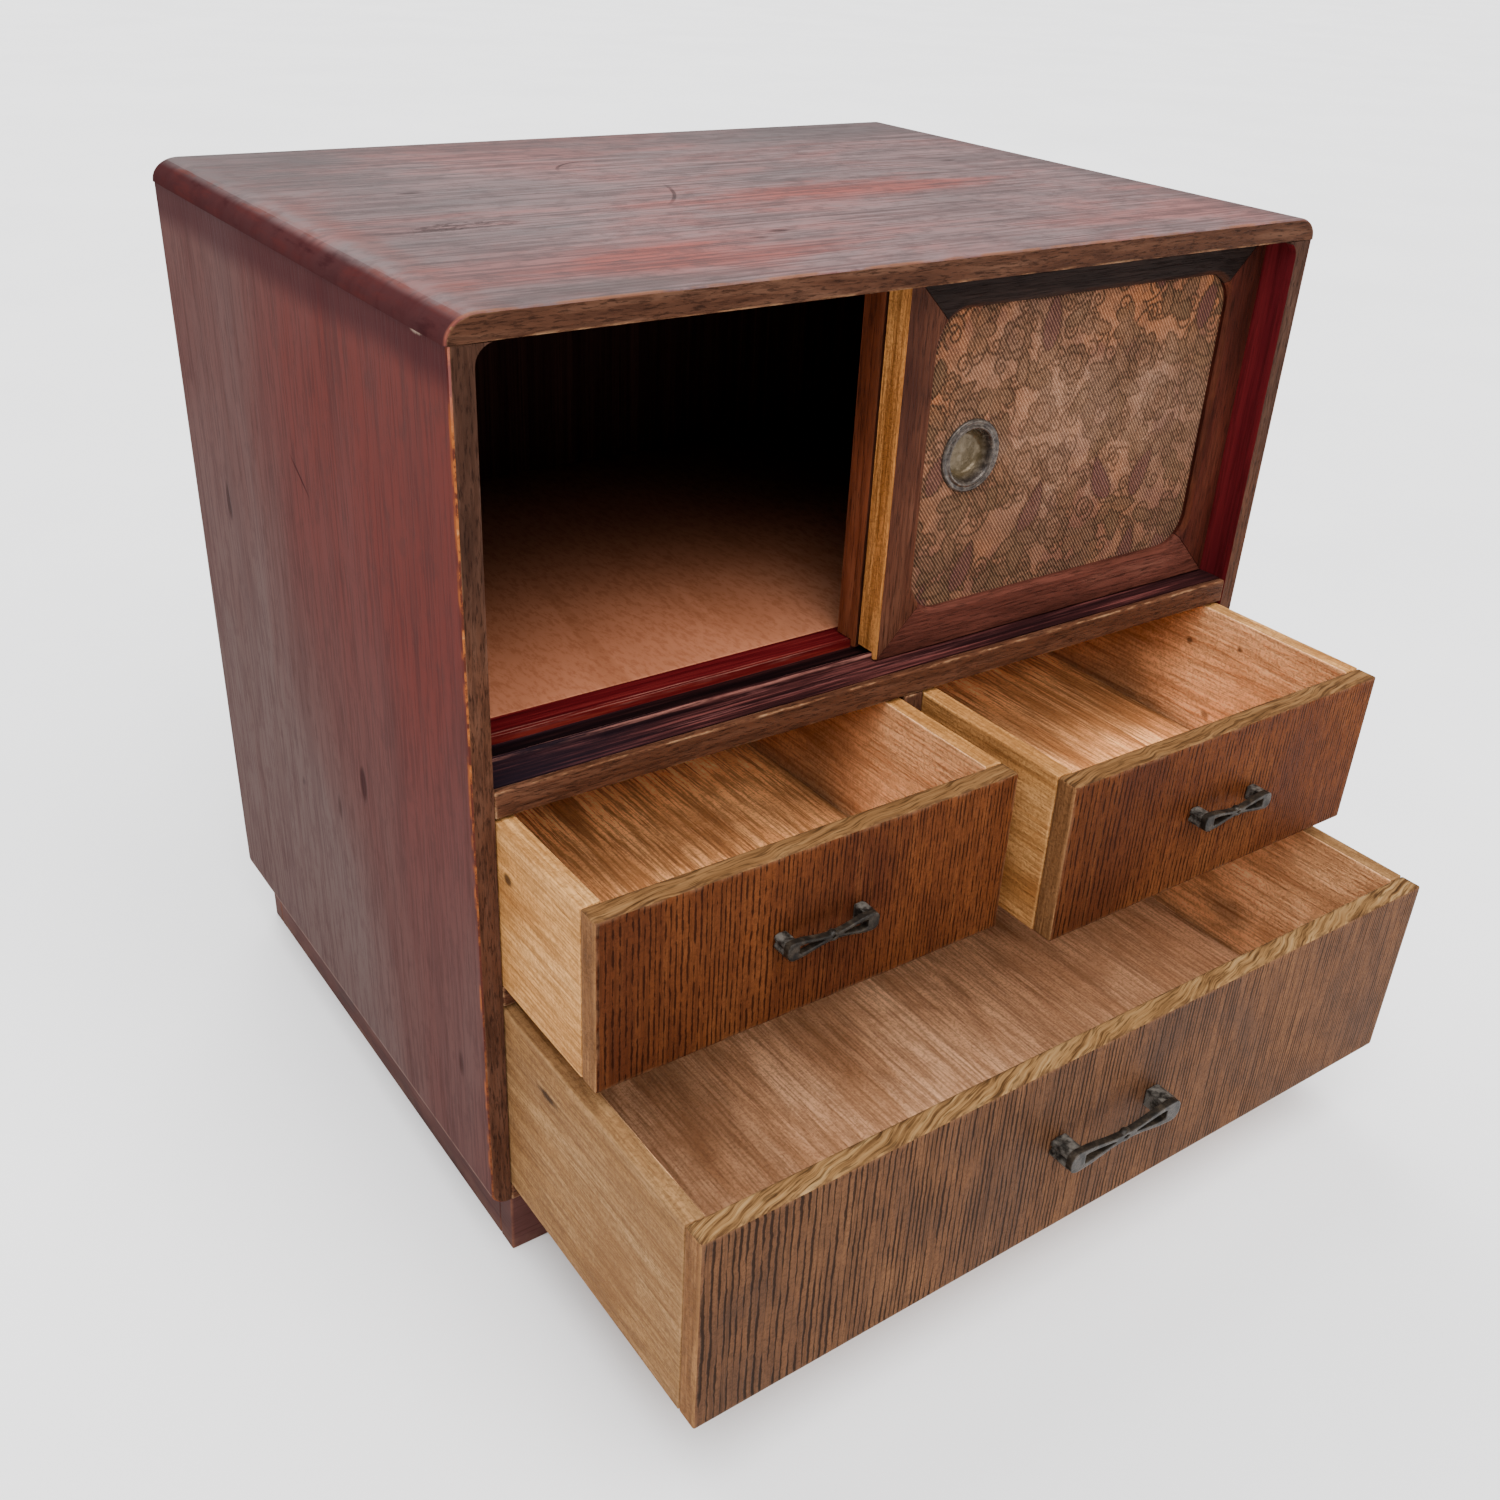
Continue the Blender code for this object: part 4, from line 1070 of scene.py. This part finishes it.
def build_sill():
    """Door sill: a rail behind, a thin rib in front of it, and the tracks."""
    low, high = SILL_LOW, SILL_HIGH
    track = high.z - RIB_HEIGHT
    rib_back = SILL_RIB_Y + RIB_THICK
    points = [
        (low.y, low.z), (high.y, low.z), (high.y, high.z), (SILL_RAIL_Y, high.z), (SILL_RAIL_Y, track),
        (rib_back, track), (rib_back, high.z), (SILL_RIB_Y, high.z), (SILL_RIB_Y, track), (low.y, track),
    ]
    hollows = {0, 1, 2, 4, 8, 9}
    add_prism("door_sill", points, hollows, (low.x, high.x), "dark_sill", ("sill",), along_x)


def build_carcass():
    """Top, sides, edge bands, inner boards, plinth and sill."""
    build_top()
    build_side("left", -1)
    build_side("right", 1)
    for band in ("shelf_band", "middle_band", "bottom_band"):
        add_board(band, "carcass", "brown_band", ("band_x",), ease=0.0008, chip=0.0004)
    boards = [
        ("drawer_divider", "brown_band", "band_z"),
        ("bottom_board", "red_lacquer", "inner_board"),
        ("middle_board", "dark_back", "inner_board"),
        ("back_panel", "dark_back", "back"),
        ("cupboard_floor", "pale_ply", "ply"),
    ]
    boards += [("plinth_" + plank, "dark_plinth", "plinth") for plank in ("front", "back", "left", "right")]
    for node, slot, look in boards:
        add_board(node, "carcass", slot, (look,), cell=HIDDEN_CELL)
    build_sill()


def stile(width, height, chamfer, ease, flipped):
    """Outline of a door stile, its inner edge drawn back by the chamfer."""
    corner = DOOR_FRAME + DOOR_CORNER
    radius = DOOR_CORNER + chamfer
    clear = math.degrees(GAP / DOOR_CORNER)
    tip = GAP * math.sqrt(2)
    points = [(ease, tip + ease)]
    points += arc(corner, corner, radius, 225 - clear, 180, 10)
    points += arc(corner, height - corner, radius, 180, 135 + clear, 10)
    points += [(ease, height - tip - ease)]
    return [(width - u, v) for u, v in reversed(points)] if flipped else points


def rail(width, height, chamfer, ease, flipped):
    """Outline of a door rail; flipped gives the top one."""
    corner = DOOR_FRAME + DOOR_CORNER
    radius = DOOR_CORNER + chamfer
    points = [(ease, ease), (width - ease, ease)]
    points += arc(width - corner, corner, radius, 315, 270, 10)
    points += arc(corner, corner, radius, 270, 225, 10)
    return [(u, height - v) for u, v in reversed(points)] if flipped else points


def build_member(door, suffix, shape, flipped, look):
    """One frame member of a door: chamfered opening, tongue below, bare or stained outer edge."""
    node = door + suffix
    low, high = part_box(door + "_left_stile")
    tip = GAP * math.sqrt(2)
    width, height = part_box(door + "_right_stile")[1].x - low.x, high.z - low.z + 2 * tip
    chamfer, ease, strip, step = 0.0022, 0.0005, 0.0008, 0.0003

    def whole(depth, edge):
        return np.array(shape(width, height, depth, edge, flipped))

    def notched(depth, edge):
        return np.maximum(whole(depth, edge), (-1.0, RIB_HEIGHT))

    def place(u, v, position):
        return (low.x + u, position, low.z - tip + v)

    def outer_edge(normal, centre):
        return int(abs(normal.x) > 0.85 and min(centre.x - low.x, low.x + width - centre.x) < 0.002)

    rings = [
        (low.y, whole(chamfer + strip, ease + strip), 0.0),
        (low.y, whole(chamfer, ease), 0.5),
        (low.y + 0.5 * chamfer, whole(0.5 * chamfer, 0.1 * ease), 0.8),
        (low.y + chamfer, whole(0.0, 0.0), 0.5),
        (low.y + TONGUE, whole(0.0, 0.0), 0.0),
        (low.y + TONGUE + step, notched(0.0, 0.0), 0.0),
        (high.y - ease - strip, notched(0.0, 0.0), 0.0),
        (high.y - ease, notched(0.0, 0.0), 0.5),
        (high.y, notched(ease, ease), 0.5),
        (high.y, notched(ease + strip, ease + strip), 0.0),
    ]
    verts, faces, worn = loft(rings, place)
    looks = (look, "raw_edge" if door == "front_door" else "stained_edge")
    make_piece(node + "_worn", verts, faces, {"wear": worn}, node, door, "door_frame", looks, outer_edge)


def build_door(door):
    """Frame members, the brocade panel and the finger pull."""
    build_member(door, "_left_stile", stile, False, "frame_left")
    build_member(door, "_right_stile", stile, True, "frame_right")
    build_member(door, "_top_rail", rail, True, "frame_head")
    build_member(door, "_bottom_rail", rail, False, "frame_foot")
    build_panel(door)
    build_pull(door)


class Motif:
    """Drawing of the brocade on a grid of points, in millimetres: lines, olive fills and maroon leaves."""

    def __init__(self, across, up):
        self.across, self.up = across, up
        self.ink, self.olive, self.maroon = (np.zeros_like(across) for _ in range(3))

    def local(self, x, y, turn):
        """Coordinates along and across an element."""
        c, s = math.cos(math.radians(turn)), math.sin(math.radians(turn))
        return (self.across - x) * c + (self.up - y) * s, (self.up - y) * c - (self.across - x) * s

    def polar(self, x, y, turn):
        """Distance and direction from an element's centre."""
        p, q = self.local(x, y, turn)
        return np.hypot(p, q), np.arctan2(q, p)

    def line(self, distance, half, strength=1.0, where=True):
        """Draw where a distance is small."""
        drawn = np.clip((half - np.abs(distance)) / 0.6 + 0.5, 0, 1) * strength
        self.ink = np.maximum(self.ink, np.where(where, drawn, 0.0))

    def fill(self, depth, olive, maroon):
        """Cover a shape's inside and draw its edge."""
        inside = np.clip(depth / 0.6 + 0.5, 0, 1)
        self.ink *= 1 - inside
        self.olive += (olive - self.olive) * inside
        self.maroon += (maroon - self.maroon) * inside
        self.line(depth, 0.75)

    def leaf(self, x, y, turn, length, width, curl, olive, maroon=0.0):
        """A bent, pointed leaf with a toothed edge, a rib and veins."""
        p, q = self.local(x, y, turn)
        t = np.clip(p / length, -0.5, 0.5)
        q = q - curl * length * (t * t - 0.1)
        half = width / 2 * (1 - 4 * t * t) ** 0.75 * (1 - 0.7 * t) * (1 + 0.12 * np.sin(p * 2.1))
        depth = half - np.hypot(q, np.maximum(np.abs(p) - length / 2, 0) * 2)
        self.fill(depth, olive, maroon)
        self.line(q, 0.3, 0.8, depth > 0.3)
        self.line(np.mod(p + 0.8 * np.abs(q), 2.6) - 1.3, 0.25, 0.6, depth > 0.4)

    def flower(self, x, y, turn, size, olive, maroon):
        """A blossom of two rounds of petals about an eye."""
        for share, petals in ((1.0, 7), (0.62, 5)):
            radius, angle = self.polar(x, y, turn + 20 * petals)
            rim = share * size * (0.72 + 0.28 * np.abs(np.cos(petals * angle / 2)) ** 0.6)
            self.fill(rim - radius, olive * share, maroon)
            inside = (radius < rim) & (radius > 0.3 * size)
            self.line(radius * np.cos(petals * angle / 2) / petals * 2, 0.3, 0.7, inside)
        self.line(radius - 0.22 * size, 0.4)
        self.line(radius, 0.7)

    def palmette(self, x, y, turn, size, olive):
        """A fan of pointed petals."""
        radius, angle = self.polar(x, y, turn)
        spread, waves = 2.1, 3.5
        petals = 0.50 + 0.50 * np.abs(np.cos(waves * angle)) ** 0.7
        rim = size * petals * np.clip(spread - np.abs(angle), 0, 1) ** 0.3
        self.fill(np.where(np.abs(angle) < spread, rim, 0.0) - radius, olive, 0.0)
        inside = (radius < rim) & (radius > 0.15 * size) & (np.abs(angle) < spread)
        self.line(radius * np.cos(waves * angle) / waves, 0.35, 0.9, inside)
        self.line(radius * np.sin(waves * angle) / waves, 0.22, 0.6, inside)

    def scroll(self, x, y, turn, size, winds, flip):
        """A spiral tendril."""
        p, q = self.local(x, y, turn)
        radius, angle = np.hypot(p, q), np.mod(np.arctan2(q * flip, p), math.tau)
        gap = np.full_like(radius, 9.0)
        for wind in range(int(winds) + 1):
            along = (angle + math.tau * wind) / (math.tau * winds)
            gap = np.minimum(gap, np.where(along <= 1.0, np.abs(radius - size * along), 9.0))
        self.line(gap, 0.7)


def arabesque(across, up, seed):
    """A dense arabesque of stems, scrolls, leaves, fans and rosettes on a jittered half-drop lattice."""
    draw = Motif(across * 1000, up * 1000)
    chance = random.Random(seed)
    places = []
    for row in range(-1, 8):
        for column in range(-1, 9):
            x = (column + 0.5 * (row % 2)) * 25 + chance.uniform(-5, 5)
            y = row * 21 + chance.uniform(-5, 5)
            places.append((x, y, chance.uniform(0, 360)))
    for x, y, turn in places:
        bow = draw.local(x, y, turn)
        draw.line(np.hypot(bow[0] - 12, bow[1]) - 12, 0.6, 1.0, (bow[1] > 0) & (bow[0] < 21))
    for x, y, turn in places:
        for side in range(3):
            away = math.radians(turn + 120 * side + 40)
            draw.scroll(
                x + 12.5 * math.cos(away), y + 10.5 * math.sin(away), chance.uniform(0, 360),
                chance.uniform(4.0, 6.5), chance.uniform(1.4, 1.9), chance.choice((-1, 1)),
            )
    kinds = [number % 12 for number in range(len(places))]
    chance.shuffle(kinds)
    for kind, (x, y, turn) in zip(kinds, places):
        bend = chance.uniform(-0.6, 0.6)
        if kind in (0, 11):
            draw.leaf(x, y, chance.uniform(50, 120), 27, 11, bend, 0.0, 1.0)
        elif kind < 4:
            draw.leaf(x, y, turn, 27, 11, bend, 0.9)
            draw.leaf(x + 7, y + 6, turn + 70, 18, 8, -bend, 0.6)
            draw.leaf(x - 7, y + 3, turn - 60, 16, 7, bend, 0.7)
        elif kind < 7:
            draw.palmette(x, y, turn, chance.uniform(11, 15), chance.uniform(0.5, 1.0))
        elif kind < 10:
            draw.flower(x, y, turn, chance.uniform(9, 12), 0.8, 0.15)
        else:
            draw.flower(x, y, turn, 6.2, 0.4, 0.0)
            draw.leaf(x - 8, y + 4, turn, 18, 7, bend, 0.9)
            draw.leaf(x + 8, y - 3, turn + 120, 16, 6, -bend, 0.5)
    return draw


def loops_of(edges):
    """Chain boundary edges, given as start to end, into closed loops."""
    edges, loops = dict(edges), []
    while edges:
        start, here = edges.popitem()
        loop = [start]
        while here != start:
            loop.append(here)
            here = edges.pop(here)
        loops.append(loop)
    return loops


def rounded_grid(low, high, radius):
    """X and Z of a grid of points over a panel with round corners, and its four-sided faces, row by row."""
    rows, columns = round((high.z - low.z) / CLOTH_CELL), round((high.x - low.x) / CLOTH_CELL)
    middle, half = (low + high) / 2, (high - low) / 2
    z = np.linspace(low.z, high.z, rows + 1)
    over = np.clip(np.abs(z - middle.z) - (half.z - radius), 0, radius)
    reach = half.x - radius + np.sqrt(radius * radius - over * over)
    x = middle.x + np.linspace(-1, 1, columns + 1)[None, :] * reach[:, None]
    z = np.broadcast_to(z[:, None], x.shape).copy()
    index = np.arange(x.size).reshape(x.shape)
    return x, z, np.stack([index[:-1, :-1], index[:-1, 1:], index[1:, 1:], index[1:, :-1]], -1)


def pierced(x, z, quads, centre, hole):
    """A grid with a round hole: X and Z of its points, its faces, and the loops along its edges."""
    away_x = (x[:-1, :-1] + x[1:, 1:]) / 2 - centre.x
    away_z = (z[:-1, :-1] + z[1:, 1:]) / 2 - centre.z
    used, flat = np.unique(quads[np.hypot(away_x, away_z) > hole], return_inverse=True)
    quads = flat.reshape(-1, 4)
    x, z = x.ravel()[used], z.ravel()[used]
    ends = [(p, q) for i in range(4) for p, q in zip(quads[:, i].tolist(), quads[:, (i + 1) % 4].tolist())]
    twins = {(q, p) for p, q in ends}
    rims = loops_of(pair for pair in ends if pair not in twins)
    rim = min(rims, key=len)
    away_x, away_z = x[rim] - centre.x, z[rim] - centre.z
    distance = np.hypot(away_x, away_z)
    x[rim], z[rim] = centre.x + away_x / distance * hole, centre.z + away_z / distance * hole
    return x, z, [tuple(quad) for quad in quads.tolist()], rims


def build_panel(door):
    """Brocade stretched over its board, with a hole for the finger pull."""
    node = door + "_panel"
    low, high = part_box(node)
    pull_low, pull_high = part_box(door + "_finger_pull")
    grid = rounded_grid(low, high, DOOR_CORNER - GAP)
    x, z, faces, rims = pierced(*grid, (pull_low + pull_high) / 2, CUP_RADIUS + PULL_WALL + GAP)
    draw = arabesque(x - low.x, z - low.z, 5 if door == "front_door" else 11)
    weave = 0.00005 * np.sin((TWILL_X * x + TWILL_Z * z) / TWILL_PITCH * math.tau)
    verts = np.stack([x, low.y + 0.0001 + weave, z], 1).tolist()
    order, flat_loops = [], []
    for rim in rims:
        rear = range(len(verts), len(verts) + len(rim))
        verts += [(x[i], high.y, z[i]) for i in rim]
        order += rear
        flat_loops.append([Vector((x[i], z[i], 0.0)) for i in rim])
        faces += bridge(rear, rim)
    faces += [tuple(order[i] for i in triangle) for triangle in geometry.tessellate_polygon(flat_loops)]
    drawing = {"ink": draw.ink, "olive": draw.olive, "maroon": draw.maroon}
    values = {key: np.concatenate([numbers, np.zeros(len(order))]) for key, numbers in drawing.items()}

    def behind(normal, centre):
        return 1 if centre.y > low.y + 0.001 else 0

    looks = ("brocade", "back")
    make_piece(node + "_cloth", verts, faces, values, node, door, "brocade", looks, behind, angle=60)


def build_pull(door):
    """Turned finger pull: stepped rim, dished floor."""
    node = door + "_finger_pull"
    low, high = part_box(node)
    centre = (low + high) / 2
    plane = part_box(door + "_panel")[0].y
    outer = CUP_RADIUS + PULL_WALL
    floor, under = CUP_DEPTH - 0.0003, CUP_DEPTH + PULL_WALL
    dish = [(0.0045, -0.0002), (0.0082, 0.0), (0.0092, -0.0002), (0.0100, -0.0007), (0.0106, -0.0016)]
    rim = [
        (0.0121, 0.0008), (0.0125, -0.0004), (0.0130, -0.0012), (0.0136, -0.0016), (0.0142, -0.0014),
        (0.0146, -0.0009), (0.0151, -0.0008), (0.0158, -0.0012), (0.0165, -0.0013), (0.0171, -0.0010),
        (0.0174, -0.0004), (0.0174, GAP), (outer, GAP), (outer, under),
    ]
    turning = [(radius, CUP_DEPTH + depth) for radius, depth in dish] + rim
    turns = [math.tau * step / PULL_STEPS for step in range(PULL_STEPS)]
    verts = [
        (centre.x + radius * math.cos(turn), plane + depth, centre.z + radius * math.sin(turn))
        for radius, depth in turning for turn in turns
    ]
    rings = ring_ranges(len(verts), PULL_STEPS)
    faces = [face for near, far in zip(rings, rings[1:]) for face in bridge(near, far)]
    for depth, ring in ((floor, rings[0]), (under, rings[-1])):
        faces += [(len(verts), i, j) for i, j in zip(ring, [*ring[1:], ring[0]])]
        verts.append((centre.x, plane + depth, centre.z))
    values = {"deep": [float(point[1] - plane > CUP_DEPTH / 2) for point in verts]}
    make_piece(node + "_turned", verts, faces, values, node, door, "aged_pewter", ("pewter",), angle=60)


def slab(work, points, near, far):
    """A flat bar between two depths, from an outline in X and Z."""
    rings = [[work.verts.new((x, depth, z)) for x, z in points] for depth in (near, far)]
    for corners in bridge(*rings) + rings:
        work.faces.new(corners)


def melted(work, name):
    """Run the overlapping parts of a casting into one soft skin."""
    bmesh.ops.recalc_face_normals(work, faces=work.faces)
    holder = link("casting", mesh_of(work, "casting"))
    melt = holder.modifiers.new("melt", "REMESH")
    melt.mode = "VOXEL"
    melt.voxel_size = VOXEL
    soft = holder.modifiers.new("soft", "SMOOTH")
    soft.factor = 0.5
    soft.iterations = 3
    cast = baked(holder)
    bpy.data.objects.remove(holder)
    cast.name = name
    return cast


def build_handle(drawer):
    """Cast bow handle: posts, pierced wings and a knot, drawn in shares of its half length and its height."""
    node = drawer + "_handle"
    low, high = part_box(node)
    half, tall = (high.x - low.x) / 2, high.z - low.z
    middle = (low + high) / 2
    thick = 0.0036
    front, back = low.y + 0.0002, low.y + thick
    wing = [
        (0.74, 0.14), (0.74, 0.46), (0.81, 0.485), (0.89, 0.48), (0.95, 0.40), (0.985, 0.24), (0.995, 0.0),
    ]
    post = [(0.74, 0.40), (0.90, 0.43), (0.97, 0.36), (0.99, 0.22), (0.975, 0.10), (0.945, 0.0)]
    strand = [
        (0.0, 0.08), (0.0, 0.19), (0.10, 0.17), (0.30, 0.24), (0.46, 0.34), (0.62, 0.43), (0.80, 0.485),
        (0.80, 0.20), (0.70, 0.22), (0.56, 0.19), (0.38, 0.11), (0.16, 0.01), (0.06, 0.01),
    ]
    work = bmesh.new()

    def bar(outline, near, far, sign, lift=1):
        slab(work, [(middle.x + sign * u * half, middle.z + lift * v * tall) for u, v in outline], near, far)

    for sign in (-1, 1):
        for upper, near, far in ((wing, front, back), (post, back - 0.0008, high.y - 0.0001)):
            bar(upper + [(u, -v) for u, v in reversed(upper[:-1])], near, far, sign)
        for lift in (-1, 1):
            bar(strand, front, back, sign, lift)
    for lift in (-1, 1):
        knot = bmesh.ops.create_uvsphere(work, u_segments=16, v_segments=10, radius=1.0)
        shape = Matrix.Diagonal((0.075 * half, thick * 0.56, 0.11 * tall, 1.0))
        place = Matrix.Translation((middle.x, front + thick * 0.52, middle.z + 0.17 * lift * tall))
        bmesh.ops.transform(work, matrix=place @ shape, verts=knot["verts"])
    cast = melted(work, node + "_cast")
    # Marks the handle posts, which take the painted sheen.
    store(cast, "post", [float(vertex.co.y > back) for vertex in cast.vertices])
    dress(node + "_cast", cast, node, drawer, "dark_bronze", ("bronze",), angle=80)


def build_drawer(drawer):
    """Front, box and handle of one drawer."""
    size = "large" if drawer == "lower_drawer" else "small"

    def front_look(normal, centre):
        return 1 if normal.z > 0.6 else 2 if abs(normal.x) > 0.6 else 3 if normal.y > 0.6 else 0

    looks = ("veneer_" + size, "edge_" + size, "oak_end", "box_back")
    add_board(
        drawer + "_front", drawer, "stained_oak", looks, front_look,
        ease=0.0011, strip=0.0012, cell=0.010, chip=0.0001,
    )
    for part, inward in (("_left_side", 1), ("_right_side", -1)):
        looks = ("box_" + size, "box_inner")
        add_board(drawer + part, drawer, "drawer_wood", looks, facing(inward), ease=0.0006, cell=WIDE_CELL)
    add_board(drawer + "_back", drawer, "drawer_wood", ("box_back",), ease=0.0006, cell=HIDDEN_CELL)
    add_board(drawer + "_bottom", drawer, "drawer_base", ("base_" + size,), ease=0.0004, cell=HIDDEN_CELL)
    build_handle(drawer)


def build_floor():
    """Plain pale floor, a hair below the feet."""
    reach = 40.0
    mesh = bpy.data.meshes.new("studio_floor")
    corners = [(-reach, -reach, 0), (reach, -reach, 0), (reach, reach, 0), (-reach, reach, 0)]
    mesh.from_pydata(corners, [], [(0, 1, 2, 3)])
    mesh.materials.append(LOOKS["floor"])
    floor = link("studio_floor", mesh)
    floor.location.z = -0.0002


def build_light():
    """Even studio light with two wide, soft suns."""
    world = bpy.data.worlds.new("studio")
    world.use_nodes = True
    background = world.node_tree.nodes["Background"].inputs
    background["Color"].default_value = (0.99, 0.99, 1.0, 1.0)
    background["Strength"].default_value = 0.45
    bpy.context.scene.world = world
    suns = (("front_light", 6.6, 70, (27, -8, 0)), ("rear_light", 2.6, 50, (-42, 6, 0)))
    for name, energy, angle, tilt in suns:
        data = bpy.data.lights.new(name, "SUN")
        data.energy = energy
        data.angle = math.radians(angle)
        link(name, data).rotation_euler = [math.radians(turn) for turn in tilt]


def build_camera():
    """The camera at the photograph's angle."""
    yaw, pitch, roll = (math.radians(angle) for angle in (YAW, PITCH, ROLL))
    ahead = Vector((math.sin(yaw) * math.cos(pitch), math.cos(yaw) * math.cos(pitch), math.sin(pitch)))
    right = Vector((math.cos(yaw), -math.sin(yaw), 0.0))
    up = right.cross(ahead)
    turned_right = math.cos(roll) * right + math.sin(roll) * up
    turned_up = math.cos(roll) * up - math.sin(roll) * right
    data = bpy.data.cameras.new("camera")
    data.sensor_width = SENSOR_MM
    data.lens = FOCAL_PIXELS / PHOTO_PIXELS * SENSOR_MM
    data.shift_x, data.shift_y = (shift / PHOTO_PIXELS for shift in SHIFT_PIXELS)
    camera = link("camera", data)
    matrix = Matrix((turned_right, turned_up, -ahead)).transposed().to_4x4()
    matrix.translation = CAMERA_PLACE
    camera.matrix_world = matrix
    bpy.context.scene.camera = camera


build_carcass()
for door in DOORS:
    build_door(door)
for drawer in DRAWERS:
    build_drawer(drawer)
build_floor()
build_light()
build_camera()
